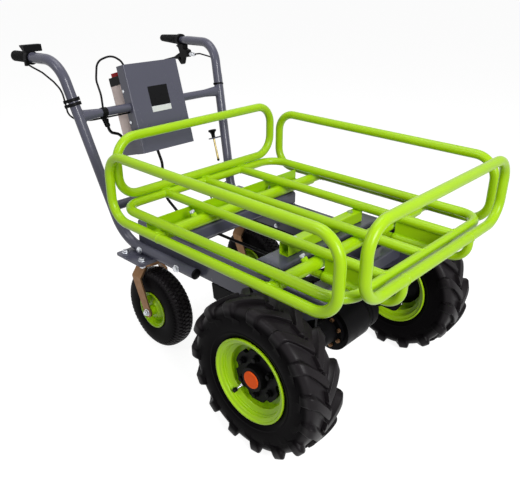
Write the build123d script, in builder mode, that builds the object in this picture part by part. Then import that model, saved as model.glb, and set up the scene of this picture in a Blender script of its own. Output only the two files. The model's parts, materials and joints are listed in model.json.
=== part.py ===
from build123d import *
import math
import os

os.makedirs("parts", exist_ok=True)

# Frame: X across the barrow (+X is the operator's left), the load end towards -Y,
# the handles towards +Y, Z up from the ground, origin under the middle of the whole.
# All sizes are millimetres.
gap = 0.3
bolt_clearance = 0.3
stand_y = 11.05

# Drive axle and wheels
axle_y = -429.0
axle_z = 200.0
drive_wheel_x = 306.0
tyre_r = 200.0
tyre_half_width = 57.0
carcass_r = 189.0
lugs_per_side = 15
rim_flange_r = 108.0
bead_seat_r = 101.0
rim_half_width = 49.0
rim_lip = 4.0
rim_well_r = 87.0
rim_t = 3.0
disc_out = 11.0
disc_t = 4.0
hub_flange_r = 68.0
hub_face_out = 39.0
cap_r = 22.0
cap_t = 2.5
axle_tube_r = 26.0
axle_tube_end = 228.0
gear_drum_r = 62.0
gear_flange_r = 48.0
motor_r = 52.0
motor_y = -321.0
motor_z = 238.0

# Casters
caster_x = 210.0
swivel_y = 127.0
caster_trail = 42.0
caster_r = 125.0
caster_half_width = 35.0
caster_rim_r = 57.0
caster_leg_in = 46.0
caster_leg_t = 5.0
caster_plate_x = 135.0
caster_plate_y = 110.0
caster_plate_t = 6.0
caster_bolts_x = 105.0
caster_bolts_y = 80.0
caster_bolt_r = 5.0
caster_axle_r = 5.95
caster_bore_r = 6.0
kingpin_r = 8.0

# Chassis of rectangular tube
rail_in = 173.0
rail_out = 213.0
rail_low = 298.0
rail_high = 388.0
rail_front = -542.0
rail_cut_back = -440.0
rail_cut_high = 360.0
rail_back = 164.0
beam_wide = 80.0
beam_high = 40.0
beam_half_length = 210.0
mid_beam_y = -356.0
rear_beam_y = -46.0
chassis_wall = 3.0
front_member_front = -490.0
front_member_back = -450.0
cross_plate_x = 285.0
cross_plate_front = 69.0
cross_plate_back = 185.0
cross_plate_t = 6.0

# Platform of round tube
tube_d = 25.0
tube_wall = 1.5
deck_z = 474.0
deck_y = -272.0
deck_half_x = 305.0
deck_half_y = 370.0
deck_corner = 60.0
slat_x = 152.0
socket_d = 32.0
socket_z = 445.2
socket_half_length = 300.0
socket_front_y = -458.0
socket_rear_y = -74.0
arm_socket_d = 27.0
arm_d = 20.0
arm_z = 416.0
arm_socket_front = -616.0
arm_socket_back = -478.0
clamp_x = 185.0

# Guard rails
rail_corner = 60.0
side_rail_y = -266.0
side_rail_half = 375.0
side_rail_top = 624.0
right_rail_x = 326.0
left_rail_x = 350.0
side_arm_end = 70.0
end_rail_half = 302.0
front_rail_y = -682.0
front_rail_low = 482.0
front_rail_top = 649.0
front_arm_end = -446.0
front_arm_bend = 45.0
rear_rail_half = 300.0
rear_rail_y = 107.5
rear_rail_low = 497.3
rear_rail_top = 657.0

# Handles
handle_d = 30.0
handle_wall = 2.0
handle_low_x = 228.2
handle_low_z = 313.2
handle_front = -107.0
handle_low_corner_y = 216.0
handle_top_corner_y = 364.0
handle_low_bend = 100.0
handle_top_bend = 80.0
grip_slope_x = 0.075
grip_slope_z = -0.029
grip_ref = (300.5, 484.0, 826.2)
grip_tube_r = 11.1
left_grip_end = 672.0
right_grip_end = 582.0
handle_bolt_ys = (122.0, -45.0)
handle_bolt_r = 4.0
upper_bar_y = 320.5
upper_bar_z = 677.9
lower_bar_y = 245.3
lower_bar_z = 415.0
lower_bar_d = 28.0

# Control box and battery, measured along the lean of the handles
lean = (0.0, 0.275, 0.9614)
facing = (0.0, -0.9614, 0.275)
box_half_x = 101.0
box_low = -144.0
box_high = 123.0
box_front = 20.0
box_back = -17.0
sheet = 1.5
tray_front = 16.5
tray_back = -101.0
tray_high = -90.0
battery_half_x = 91.0
battery_front = -21.0
battery_back = -95.0
battery_top = 72.0
cap_top = 98.0
box_screw_places = ((49.0, -9.0), (-45.0, -9.0))

# Cables
entry_clearance = 0.2
lead_routes = {
    "throttle_cable": ([(-316, 502, 810.5), (-315, 470, 803), (-310, 425, 792.5), (-306.5, 375, 773), (-302, 345, 752),
                        (-299, 338, 715), (-292, 345, 685), (-268, 347, 662), (-230, 325, 660),
                        (-100, 320.5, 662)], 5.0, 40.0),
    "brake_cable": ([(300.5, 484, 780), (300.5, 447, 786), (302, 390, 780), (300.5, 352, 752), (297.3, 335.7, 731),
                     (256.5, 240, 398), (252, 262, 372), (222, 272, 356), (160, 262, 345), (120, 205, 350),
                     (120, 120, 330), (120, -230, 331), (110, -330, 331), (89, -372, 320), (89, -375, 268)], 5.0, 28.0),
    "battery_cable": ([(-84, 338, 755), (-92, 349, 808), (-122, 357, 829), (-154, 388, 812), (-170, 377, 760),
                       (-190, 326, 726), (-192, 320.5, 691.5)], 6.0, 30.0),
    "dock_cable": ([(-188, 311, 659), (-184, 316, 618), (-128, 346, 596), (-99.3, 352, 563)], 9.0, 45.0),
    "motor_cable": ([(-30, 288, 536), (-30, 269, 500), (-30, 268, 430), (-30, 262, 385), (-30, 205, 350),
                     (-30, 120, 330), (-30, -230, 331), (-30, -280, 292), (-30, -299.5, 292)], 9.0, 45.0),
}


def save(piece, label):
    # The pieces are drawn from the middle of the chassis; stand_y brings the origin under the whole.
    solids = [solid.moved(Location((0, stand_y, 0))) for solid in piece.solids()]
    placed = solids[0] if len(solids) == 1 else Compound(children=solids)
    placed.label = label
    export_step(placed, f"parts/{label}.step")


def wheel_plane(side, x, y, z):
    # Sketch plane of a turned wheel section: local x is outwards, local y is the radius.
    return Plane(origin=(side * x, y, z), x_dir=(side, 0, 0), z_dir=(0, -side, 0))


def box_point(x, along, out):
    y = upper_bar_y + along * lean[1] + out * facing[1]
    z = upper_bar_z + along * lean[2] + out * facing[2]
    return (x, y, z)


def grip_point(side, y):
    run = y - grip_ref[1]
    return (side * (grip_ref[0] + grip_slope_x * run), y, grip_ref[2] + grip_slope_z * run)


def grip_direction(side):
    return (side * grip_slope_x, 1.0, grip_slope_z)


def grip_plane(side, y):
    return Plane(origin=grip_point(side, y), x_dir=(1, 0, 0), z_dir=grip_direction(side))


def grip_section(side, y):
    # Plane through a grip's axis: local x runs along the grip, local y is the radius.
    return Plane(origin=grip_point(side, y), x_dir=grip_direction(side), z_dir=(1, -side * grip_slope_x, 0))


def grip_axis(side):
    return Axis(grip_point(side, grip_ref[1]), grip_direction(side))


def box_tube(plane, wide, high, corner, wall, length):
    with BuildPart() as tube:
        with BuildSketch(plane):
            RectangleRounded(wide, high, corner)
            RectangleRounded(wide - 2 * wall, high - 2 * wall, corner - wall, mode=Mode.SUBTRACT)
        extrude(amount=length)
    return tube.part


def round_tube(plane, outer, inner, length):
    with BuildPart() as tube:
        with BuildSketch(plane):
            Circle(outer / 2)
            if inner > 0:
                Circle(inner / 2, mode=Mode.SUBTRACT)
        extrude(amount=length)
    return tube.part


def bent_tube(points, bends, outer, wall):
    with BuildPart() as tube:
        with BuildLine() as route:
            FilletPolyline(*points, radius=bends)
        start = Plane(origin=route.line @ 0, z_dir=route.line % 0)
        with BuildSketch(start):
            Circle(outer / 2)
            if wall > 0:
                Circle(outer / 2 - wall, mode=Mode.SUBTRACT)
        sweep(path=route.line)
    return tube.part


def loop_bar(plane, long_way, short_way, corner, diameter):
    with BuildSketch(plane) as outline:
        RectangleRounded(long_way, short_way, corner)
    route = outline.sketch.face().outer_wire()
    with BuildPart() as bar:
        with BuildSketch(Plane(origin=route @ 0, z_dir=route % 0)):
            Circle(diameter / 2)
        sweep(path=route)
    return bar.part


def hollowed(solid, bore):
    with BuildPart() as tube:
        add(solid)
        add(bore, mode=Mode.SUBTRACT)
    return tube.part


def lead(points, diameter, bend, clearance=0.0):
    with BuildLine() as route:
        FilletPolyline(*points, radius=bend)
    with BuildPart() as cable:
        with BuildSketch(Plane(origin=route.line @ 0, z_dir=route.line % 0)):
            Circle(diameter / 2 + clearance)
        sweep(path=route.line)
    return cable.part, route.wire().length


def lead_bore(label):
    # The hole that a housing needs where this lead goes in.
    return lead(*lead_routes[label], clearance=entry_clearance)[0]


def bolt(plane, shank_r, grip_length, head_flats, head_h, nut_flats, nut_h, tail):
    # A hexagon bolt: the plane lies under the head and points from the head to the nut.
    with BuildPart() as piece:
        with BuildSketch(plane):
            RegularPolygon(head_flats / 2, 6, major_radius=False)
        extrude(amount=-head_h)
        with BuildSketch(plane):
            Circle(shank_r)
        extrude(amount=grip_length + nut_h + tail)
        with BuildSketch(plane.offset(grip_length)):
            RegularPolygon(nut_flats / 2, 6, major_radius=False)
        extrude(amount=nut_h)
    return piece.part


def largest(piece):
    # The biggest solid of a cut piece, without the slivers that a curved cut leaves.
    return Part(piece.solids().sort_by(SortBy.VOLUME)[-1].wrapped)


def group(pieces):
    return Compound(children=[solid for piece in pieces for solid in piece.solids()])


# Chassis: two long rails, a front member and two beams that carry the platform
rail_mid_x = (rail_in + rail_out) / 2
rail_mid_z = (rail_low + rail_high) / 2
for side, name in ((-1, "right"), (1, "left")):
    with BuildPart() as chassis_rail:
        with BuildSketch(Plane((side * rail_mid_x, rail_front, rail_mid_z), x_dir=(1, 0, 0), z_dir=(0, 1, 0))):
            RectangleRounded(rail_out - rail_in, rail_high - rail_low, 6)
            RectangleRounded(rail_out - rail_in - 2 * chassis_wall, rail_high - rail_low - 2 * chassis_wall, 3,
                             mode=Mode.SUBTRACT)
        extrude(amount=rail_back - rail_front)
        with BuildSketch(Plane.YZ.offset(side * rail_mid_x)):
            with Locations(*[(y, handle_low_z) for y in handle_bolt_ys]):
                Circle(handle_bolt_r + bolt_clearance)
        extrude(amount=40, both=True, mode=Mode.SUBTRACT)
        with BuildSketch(Plane.YZ.offset(side * rail_mid_x)):
            Polygon((rail_front, rail_low), (rail_cut_back, rail_low), (rail_front, rail_cut_high), align=None)
        extrude(amount=40, both=True, mode=Mode.SUBTRACT)
    save(chassis_rail.part, f"chassis_rail_{name}")

front_member_depth = front_member_back - front_member_front
front_member_plane = Plane((-rail_in, (front_member_front + front_member_back) / 2, rail_high - beam_high / 2),
                           x_dir=(0, 1, 0), z_dir=(1, 0, 0))
save(box_tube(front_member_plane, front_member_depth, beam_high, 6, chassis_wall, 2 * rail_in),
     "front_cross_member")


def platform_beam(y, bolt_y, bolt_x):
    plane = Plane((-beam_half_length, y, rail_high + beam_high / 2), x_dir=(0, 1, 0), z_dir=(1, 0, 0))
    tube = box_tube(plane, beam_wide, beam_high, 8, chassis_wall, 2 * beam_half_length)
    with BuildPart() as beam:
        add(tube)
        with BuildSketch(Plane.XY.offset(rail_high + beam_high - 10)):
            with Locations((-bolt_x, bolt_y), (bolt_x, bolt_y)):
                Circle(handle_bolt_r + bolt_clearance)
        extrude(amount=20, mode=Mode.SUBTRACT)
    return beam.part


rear_bolt_y = -24.0
rear_bolt_x = 155.0
front_bolt_x = 118.0
save(group([platform_beam(mid_beam_y, mid_beam_y, front_bolt_x),
            platform_beam(rear_beam_y, rear_bolt_y, rear_bolt_x)]), "platform_beams")

cross_plate_low = rail_low - cross_plate_t
with BuildPart() as cross_plate:
    with BuildSketch(Plane((0, (cross_plate_front + cross_plate_back) / 2, cross_plate_low))):
        RectangleRounded(2 * cross_plate_x, cross_plate_back - cross_plate_front, 8)
    extrude(amount=cross_plate_t)
    with BuildSketch(Plane.XY.offset(cross_plate_low)):
        with Locations((-caster_x, swivel_y), (caster_x, swivel_y)):
            with GridLocations(caster_bolts_x, caster_bolts_y, 2, 2):
                Circle(caster_bolt_r + bolt_clearance)
    extrude(amount=cross_plate_t, mode=Mode.SUBTRACT)
save(cross_plate.part, "caster_cross_plate")

bracket_t = 8.0
bracket_front = -505.0
rail_cut_slope = (rail_cut_high - rail_low) / (rail_cut_back - rail_front)
bracket_front_top = rail_low + (rail_cut_back - bracket_front) * rail_cut_slope
bracket_outline = [(bracket_front, bracket_front_top), (rail_cut_back, rail_low), (-154, rail_low), (-160, 254),
                   (-206, 240), (-376, 160), (-482, 160), (bracket_front, 230)]


def axle_bracket(side):
    with BuildPart() as bracket:
        with BuildSketch(Plane.YZ.offset(side * (rail_out - bracket_t / 2))):
            Polygon(*bracket_outline, align=None)
            with Locations((axle_y, axle_z)):
                Circle(axle_tube_r + 0.1, mode=Mode.SUBTRACT)
        extrude(amount=bracket_t / 2, both=True)
        fillet(bracket.edges().filter_by(Axis.X).group_by(Axis.Z)[0], 20)
    return bracket.part


save(group([axle_bracket(-1), axle_bracket(1)]), "axle_brackets")

# Drive unit: a gear case on the axle line with the motor behind it
reduction_face = 76.0
reduction_t = 26.0
shaft_bore_r = 20.0
shaft_bore_depth = 90.0
flange_face = -58.0
flange_t = 10.0
brake_bore = lead_bore("brake_cable")
with BuildPart() as gear_case:
    with BuildSketch(wheel_plane(1, 0, axle_y, axle_z)):
        with BuildLine():
            Polyline((-axle_tube_end, 0), (-axle_tube_end, axle_tube_r), (-118, axle_tube_r), (-96, 32),
                     (flange_face, 34), (flange_face, gear_flange_r), (flange_face + flange_t, gear_flange_r),
                     (flange_face + flange_t, gear_drum_r), (50, gear_drum_r), (62, 56), (110, 52),
                     (116, axle_tube_r),
                     (axle_tube_end, axle_tube_r), (axle_tube_end, 0), close=True)
        make_face()
    revolve(axis=Axis((0, axle_y, axle_z), (1, 0, 0)))
    with BuildSketch(Plane.YZ.offset(reduction_face)) as lobe:
        with Locations((axle_y, axle_z)):
            Circle(gear_drum_r - 6)
        with Locations((motor_y, motor_z)):
            Circle(motor_r - 4)
        make_hull()
    extrude(amount=reduction_t)
    for end in (-1, 1):
        with BuildSketch(Plane.YZ.offset(end * axle_tube_end)):
            with Locations((axle_y, axle_z)):
                Circle(shaft_bore_r)
        extrude(amount=-end * shaft_bore_depth, mode=Mode.SUBTRACT)
    add(brake_bore, mode=Mode.SUBTRACT)
save(gear_case.part, "gear_case")

motor_length = 122.0
terminal_x = -30.0
terminal_y = -322.0
terminal_depth = 44.0
terminal_top = 301.0
with BuildPart() as motor:
    with BuildSketch(Plane.YZ.offset(reduction_face - gap)):
        with Locations((motor_y, motor_z)):
            Circle(motor_r - 3)
    extrude(amount=-motor_length)
    with BuildSketch(Plane.YZ.offset(reduction_face - gap)):
        with Locations((motor_y, motor_z)):
            Circle(motor_r)
    extrude(amount=-22)
    with BuildSketch(Plane.YZ.offset(reduction_face - gap - motor_length + 24)):
        with Locations((motor_y, motor_z)):
            Circle(motor_r)
    extrude(amount=-24)
    chamfer(motor.faces().sort_by(Axis.X)[0].edges(), 4)
    with BuildSketch(Plane((terminal_x, terminal_y, motor_z))):
        Rectangle(32, terminal_depth)
    extrude(amount=terminal_top - motor_z)
save(motor.part, "motor")

# Handles: one bent tube a side, bolted along the outside of the rails
def handle_route(side, end_y):
    return [(side * handle_low_x, handle_front, handle_low_z),
            (side * handle_low_x, handle_low_corner_y, handle_low_z),
            grip_point(side, handle_top_corner_y), grip_point(side, end_y)]


handle_bends = [handle_low_bend, handle_top_bend]
swage_places = {"right": (-1, 488.0, 3.0, 576.0), "left": (1, 511.0, 37.0, 625.0)}


def swaged_end(side, start_y, run, end_y):
    # The last of a handle, drawn down so that the clamp and the grip slip over it.
    length = end_y - start_y
    with BuildPart() as end:
        with BuildSketch(grip_section(side, start_y)):
            with BuildLine():
                Polyline((0, handle_d / 2), (run, grip_tube_r), (length, grip_tube_r),
                         (length, grip_tube_r - handle_wall), (run, grip_tube_r - handle_wall),
                         (0, handle_d / 2 - handle_wall), close=True)
            make_face()
        revolve(axis=grip_axis(side))
    return end.part


for name, (side, start_y, run, end_y) in swage_places.items():
    handle_tube = bent_tube(handle_route(side, start_y), handle_bends, handle_d, handle_wall)
    grip_tube = swaged_end(side, start_y, run, end_y)
    with BuildPart() as handle:
        add([handle_tube, grip_tube])
        with BuildSketch(Plane.YZ.offset(side * handle_low_x)):
            with Locations(*[(y, handle_low_z) for y in handle_bolt_ys]):
                Circle(handle_bolt_r + bolt_clearance)
        extrude(amount=handle_d, both=True, mode=Mode.SUBTRACT)
    save(handle.part, f"handle_{name}")

handle_cutters = [bent_tube(handle_route(side, start_y), handle_bends, handle_d + 0.2, 0)
                  for side, start_y, run, end_y in swage_places.values()]
flare_start = 205.0
flare_end = 274.0
flare_half_high = 18.0
flare_half_deep = 9.0


def flattened_end(side, shrink):
    # The last of the upper crossbar, pressed flat along the lean where it meets a handle.
    start = Plane(origin=(side * flare_start, upper_bar_y, upper_bar_z), x_dir=lean, z_dir=(side, 0, 0))
    with BuildPart() as end:
        with BuildSketch(start):
            Circle(tube_d / 2 - shrink)
        with BuildSketch(start.offset(flare_end - flare_start)):
            Ellipse(flare_half_high - shrink, flare_half_deep - shrink)
        loft()
    return end.part


def across(x, y, z):
    return Plane((-x, y, z), x_dir=(0, 1, 0), z_dir=(1, 0, 0))


upper_tube = round_tube(across(flare_start, upper_bar_y, upper_bar_z), tube_d, tube_d - 2 * handle_wall,
                        2 * flare_start)
upper_ends = [hollowed(flattened_end(side, 0), flattened_end(side, handle_wall)) for side in (-1, 1)]
with BuildPart() as upper_crossbar:
    add([upper_tube] + upper_ends)
    add(handle_cutters, mode=Mode.SUBTRACT)
save(largest(upper_crossbar.part), "upper_crossbar")

lower_half = 239.0
lower_tube = round_tube(across(lower_half, lower_bar_y, lower_bar_z), lower_bar_d, lower_bar_d - 2 * handle_wall,
                        2 * lower_half)
save(largest(hollowed(lower_tube, handle_cutters)), "lower_crossbar")

handle_bolts = []
for side in (-1, 1):
    for y in handle_bolt_ys:
        head = Plane((side * (handle_low_x + handle_d / 2), y, handle_low_z), z_dir=(-side, 0, 0))
        grip_length = handle_low_x + handle_d / 2 - rail_in
        handle_bolts.append(bolt(head, handle_bolt_r, grip_length, 13, 5.5, 13, 6.5, 4))
save(group(handle_bolts), "handle_bolts")

# Left grip with the brake, right grip with the throttle
left_grip_front = 562.5
left_grip_r = 17.0
left_grip_end_r = 12.0
grip_length = left_grip_end - left_grip_front
tube_in_grip = swage_places["left"][3] - left_grip_front + 1
grip_bore_r = grip_tube_r + 0.1
with BuildPart() as grip_left:
    with BuildSketch(grip_section(1, left_grip_front)):
        with BuildLine():
            Polyline((0, grip_bore_r), (0, left_grip_r), (grip_length, left_grip_end_r), (grip_length, 0),
                     (tube_in_grip, 0), (tube_in_grip, grip_bore_r), close=True)
        make_face()
    revolve(axis=grip_axis(1))
    fillet(grip_left.edges().filter_by(GeomType.CIRCLE).sort_by(Axis.Y)[-1], 3)
save(grip_left.part, "grip_left")

throttle_bore = lead_bore("throttle_cable")
throttle_front = 491.3
throttle_split = 506.0
housing_r = 20.0
pod_right = -321.0
pod_wide = 56.0
pod_outline = [(throttle_front, 840), (495, 861), (523, 859), (503, 845)]
entry_x = -316.0
entry_low = 804.0
entry_depth = 12.0
with BuildPart() as throttle_housing:
    with BuildSketch(Plane.YZ.offset(pod_right)):
        Polygon(*pod_outline, align=None)
    extrude(amount=pod_wide)
    fillet(throttle_housing.edges().filter_by(Axis.X), 2)
    fillet(throttle_housing.faces().sort_by(Axis.X)[-1].edges(), 1.8)
    with BuildSketch(grip_plane(-1, throttle_front)):
        Circle(housing_r)
    extrude(amount=throttle_split - throttle_front)
    with BuildSketch(Plane((entry_x, throttle_front + entry_depth / 2, entry_low))):
        RectangleRounded(12, entry_depth, 3)
    extrude(amount=14)
    with BuildSketch(grip_plane(-1, throttle_front - 10)):
        Circle(grip_bore_r)
    extrude(amount=60, mode=Mode.SUBTRACT)
    add(throttle_bore, mode=Mode.SUBTRACT)
save(throttle_housing.part, "throttle_housing")

throttle_grip_r = 15.5
throttle_flange_r = 17.5
throttle_flange_t = 3.0
twist_bore_r = grip_tube_r + 0.05
twist_length = right_grip_end - throttle_split - gap
tube_in_twist = swage_places["right"][3] - throttle_split + 1
with BuildPart() as throttle_grip:
    with BuildSketch(grip_section(-1, throttle_split + gap)):
        with BuildLine():
            Polyline((0, twist_bore_r), (0, throttle_flange_r), (throttle_flange_t, throttle_flange_r),
                     (throttle_flange_t, throttle_grip_r), (twist_length, throttle_grip_r), (twist_length, 0),
                     (tube_in_twist, 0), (tube_in_twist, twist_bore_r), close=True)
        make_face()
    revolve(axis=grip_axis(-1))
    fillet(throttle_grip.edges().filter_by(GeomType.CIRCLE).sort_by(Axis.Y)[-1], 3)
save(throttle_grip.part, "throttle_grip")

brake_ring_front = 548.3
brake_ring_back = 562.0
brake_ring_r = 20.0
pivot_y = 540.0
pivot_z = 775.0
pivot_r = 4.0
lever_half = 7.0
slot_half = lever_half + gap
perch_half = slot_half + 4.0
perch_outline = [(-12, 35), (-12, 21), (-30, 17), (-35, 5), (-29, -7), (-8, -10), (10, -8), (12, 0), (9, 5), (18, 23),
                 (34, 28), (21.5, 30.5), (21.5, 40), (8.5, 40), (8.5, 35)]
slot_outline = [(-14, -40), (-14, 0), (0, 14), (40, 14), (40, -40)]
lever_outline = [(-4, 8), (8, 8), (22, 1), (50, -13), (118, -30), (123, -35), (118, -39), (48, -21), (28, -20), (11, -35),
                 (5, -36), (-1, -31), (-9, -8)]
lever_window = [(12, -9), (23, -14), (10, -26), (6, -18)]
adjuster_r = 5.0
adjuster_front = -60.0
adjuster_z = 5.0
grip_length_h = math.hypot(1.0, grip_slope_x)
grip_back = (grip_slope_x / grip_length_h, 1 / grip_length_h, 0)
pivot_axis = (1 / grip_length_h, -grip_slope_x / grip_length_h, 0)
pivot_at = (grip_point(1, pivot_y)[0], pivot_y, pivot_z)
lever_plane = Plane(origin=pivot_at, x_dir=grip_back, z_dir=pivot_axis)
adjuster_origin = lever_plane.from_local_coords((adjuster_front, adjuster_z, 0))
with BuildPart() as brake_bracket:
    with BuildSketch(lever_plane.offset(-perch_half)):
        Polygon(*perch_outline, align=None)
    extrude(amount=2 * perch_half)
    fillet(brake_bracket.edges().filter_by(Axis(pivot_at, pivot_axis)), 2)
    with BuildSketch(grip_plane(1, brake_ring_front)):
        Circle(brake_ring_r)
    extrude(amount=brake_ring_back - brake_ring_front)
    with BuildSketch(Plane(origin=adjuster_origin, x_dir=pivot_axis, z_dir=grip_back)):
        Circle(adjuster_r)
    extrude(amount=-adjuster_front - 25)
    with BuildSketch(lever_plane.offset(-slot_half)):
        Polygon(*slot_outline, align=None)
        Circle(14)
    extrude(amount=2 * slot_half, mode=Mode.SUBTRACT)
    with BuildSketch(lever_plane.offset(-perch_half)):
        Circle(pivot_r)
    extrude(amount=2 * perch_half)
    with BuildSketch(grip_plane(1, brake_ring_front - 60)):
        Circle(grip_bore_r)
    extrude(amount=200, mode=Mode.SUBTRACT)
    add(brake_bore, mode=Mode.SUBTRACT)
save(brake_bracket.part, "brake_bracket")

with BuildPart() as brake_lever:
    with BuildSketch(lever_plane.offset(-lever_half)):
        Circle(10)
        Polygon(*lever_outline, align=None)
        Polygon(*lever_window, align=None, mode=Mode.SUBTRACT)
        Circle(pivot_r + 0.05, mode=Mode.SUBTRACT)
    extrude(amount=2 * lever_half)
save(brake_lever.part, "brake_lever")

# Control box: a folded cover hung on the upper crossbar, with the controller inside
across_lean = Plane(origin=box_point(0, 0, 0), x_dir=lean, z_dir=(1, 0, 0))


def along_lean(along):
    # Plane square to the lean; local y points backwards, away from the cover's front.
    return Plane(origin=box_point(0, along, 0), x_dir=(1, 0, 0), z_dir=lean)


box_screw_r = 2.5
fold_r = 3.0
with BuildPart() as box_cover:
    with BuildSketch(along_lean(box_low)) as folds:
        with Locations((0, -(box_front + box_back) / 2)):
            Rectangle(2 * box_half_x, box_front - box_back)
        with Locations((0, -(box_front + box_back) / 2 + sheet)):
            Rectangle(2 * (box_half_x - sheet), box_front - box_back, mode=Mode.SUBTRACT)
        fillet(folds.vertices().group_by(Axis.Y)[1], fold_r - sheet)
        fillet(folds.vertices().group_by(Axis.Y)[0], fold_r)
    extrude(amount=box_high - box_low)
    with BuildSketch(across_lean.offset(-box_half_x - 5)):
        Circle(tube_d / 2 + 0.5)
        with Locations((0, -12)):
            Rectangle(tube_d + 1, 24)
    extrude(amount=2 * box_half_x + 10, mode=Mode.SUBTRACT)
    with BuildSketch(across_lean.offset(-box_half_x - 5)):
        with Locations(*box_screw_places):
            Circle(box_screw_r + 0.2)
    extrude(amount=2 * box_half_x + 10, mode=Mode.SUBTRACT)
    add(throttle_bore, mode=Mode.SUBTRACT)
save(box_cover.part, "box_cover")

# The tray under the box carries the battery; its upright sheet closes the box behind
dock_bore = lead_bore("dock_cable")
motor_bore = lead_bore("motor_cable")
tray_half_x = box_half_x - sheet - 0.3
tray_floor = box_low + 2.0
upright_out = -15.5
lip = 14.0
with BuildPart() as battery_tray:
    with BuildSketch(along_lean(box_low + 0.5)):
        with Locations((0, -(tray_front + tray_back) / 2)):
            Rectangle(2 * tray_half_x, tray_front - tray_back)
    extrude(amount=tray_high - box_low)
    with BuildSketch(along_lean(tray_floor)):
        with Locations((0, -(tray_front + tray_back) / 2)):
            Rectangle(2 * (tray_half_x - sheet), tray_front - tray_back - 2 * sheet)
    extrude(amount=tray_high - box_low + 5, mode=Mode.SUBTRACT)
    with BuildSketch(along_lean(box_low + 0.5)):
        for side in (-1, 1):
            with Locations((side * (tray_half_x - sheet / 2), -upright_out - lip / 2)):
                Rectangle(sheet, lip)
    extrude(amount=box_high - box_low - 6)
    with BuildSketch(across_lean.offset(-box_half_x)):
        with Locations(*box_screw_places):
            Circle(box_screw_r + 0.2)
        Circle(tube_d / 2 + 0.5)
        with Locations((0, -12)):
            Rectangle(tube_d + 1, 12)
    extrude(amount=2 * box_half_x, mode=Mode.SUBTRACT)
    with BuildSketch(along_lean(box_low + 0.5)):
        with Locations((0, -upright_out + sheet / 2)):
            Rectangle(2 * tray_half_x, sheet)
    extrude(amount=box_high - box_low - 6)
    add([throttle_bore, dock_bore, motor_bore], mode=Mode.SUBTRACT)
save(battery_tray.part, "battery_tray")

controller_low = 24.0
with BuildPart() as controller:
    with BuildSketch(along_lean(controller_low)):
        with Locations((0, -2)):
            Rectangle(150, 26)
    extrude(amount=86)
    with BuildSketch(along_lean(controller_low)):
        with Locations((0, -15)):
            with GridLocations(12, 1, 11, 1):
                Rectangle(3, 5)
    extrude(amount=86)
save(controller.part, "controller")

box_screws = []
for side in (-1, 1):
    for along, out in box_screw_places:
        with BuildPart() as box_screw:
            head_plane = Plane(origin=box_point(side * box_half_x, along, out), x_dir=lean, z_dir=(side, 0, 0))
            with BuildSketch(head_plane):
                Circle(5)
            extrude(amount=2.4)
            fillet(box_screw.faces().sort_by(Axis.X)[0 if side < 0 else -1].edges(), 1.2)
            with BuildSketch(head_plane):
                Circle(box_screw_r)
            extrude(amount=-7)
        box_screws.append(box_screw.part)
save(group(box_screws), "box_screws")

# Battery: a case standing in the tray, a cap and a push button
battery_depth = battery_front - battery_back
battery_mid = -(battery_front + battery_back) / 2
with BuildPart() as battery_case:
    with BuildSketch(along_lean(tray_floor + 0.2)):
        with Locations((0, battery_mid)):
            RectangleRounded(2 * battery_half_x, battery_depth, 12)
    extrude(amount=battery_top - tray_floor - 0.2)
save(battery_case.part, "battery_case")

button_half = 18.0
button_long = 20.0
button_x = -66.0
button_mid = 62.0
button_floor = 90.0
button_top = 110.0
button_travel = 4.0
with BuildPart() as battery_cap:
    with BuildSketch(along_lean(battery_top + 0.2)):
        with Locations((0, battery_mid)):
            RectangleRounded(2 * battery_half_x + 2, battery_depth + 2, 13)
    extrude(amount=cap_top - battery_top - 0.2)
    chamfer(battery_cap.faces().sort_by(SortBy.DISTANCE)[-1].edges().filter_by(GeomType.LINE), 0.6)
    with BuildSketch(along_lean(button_floor - button_travel - 0.5)):
        with Locations((button_x, button_mid)):
            RectangleRounded(2 * button_long + 2 * gap, 2 * button_half + 2 * gap, 4)
    extrude(amount=40, mode=Mode.SUBTRACT)
save(battery_cap.part, "battery_cap")

with BuildPart() as battery_button:
    with BuildSketch(along_lean(button_floor)):
        with Locations((button_x, button_mid)):
            RectangleRounded(2 * button_long, 2 * button_half, 4)
    extrude(amount=button_top - button_floor)
save(battery_button.part, "battery_button")

# Leads, each led whole from one housing to the next
for label, (route, diameter, bend) in lead_routes.items():
    cable, length = lead(route, diameter, bend)
    filled = cable.volume / (math.pi * diameter * diameter / 4 * length)
    print(f"{label}: {length:.0f} mm long, {diameter:.0f} mm thick, bends {bend:.0f} mm, volume {filled:.4f}")
    save(cable, label)

# Lock pin: a knob on a rod that hangs in a small plate welded inside the left handle
pin_x = 213.0
pin_rod_r = 3.5
seat_plane = Plane(origin=(pin_x, 290.0, 530.0), x_dir=(1, 0, 0), z_dir=lean)
with BuildPart() as pin_bracket:
    with BuildSketch(seat_plane):
        with Locations((14, 0)):
            Rectangle(54, 24)
        Circle(pin_rod_r + 0.1, mode=Mode.SUBTRACT)
    extrude(amount=-4)
    add(handle_cutters[1], mode=Mode.SUBTRACT)
save(largest(pin_bracket.part), "pin_bracket")

with BuildPart() as pull_pin:
    with BuildSketch(seat_plane.offset(-82)):
        Circle(pin_rod_r)
    extrude(amount=92)
    with BuildSketch(seat_plane.offset(-82)):
        Circle(5.5)
    extrude(amount=30)
    with BuildSketch(seat_plane.offset(0.4)):
        Circle(6.5)
    with BuildSketch(seat_plane.offset(20)):
        Circle(9)
    loft()
    with BuildSketch(seat_plane.offset(20)):
        Circle(14)
    extrude(amount=8)
    fillet(pull_pin.edges().filter_by(GeomType.CIRCLE).sort_by(Axis.Z)[-1], 4)
save(pull_pin.part, "pull_pin")

# Platform: a rounded loop, three slats and the sockets that take the rails' arms
deck_plane = Plane((0, deck_y, deck_z))
tube_bore = tube_d - 2 * tube_wall


def deck_bar(diameter):
    return loop_bar(deck_plane, 2 * deck_half_x, 2 * deck_half_y, deck_corner, diameter)


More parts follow.
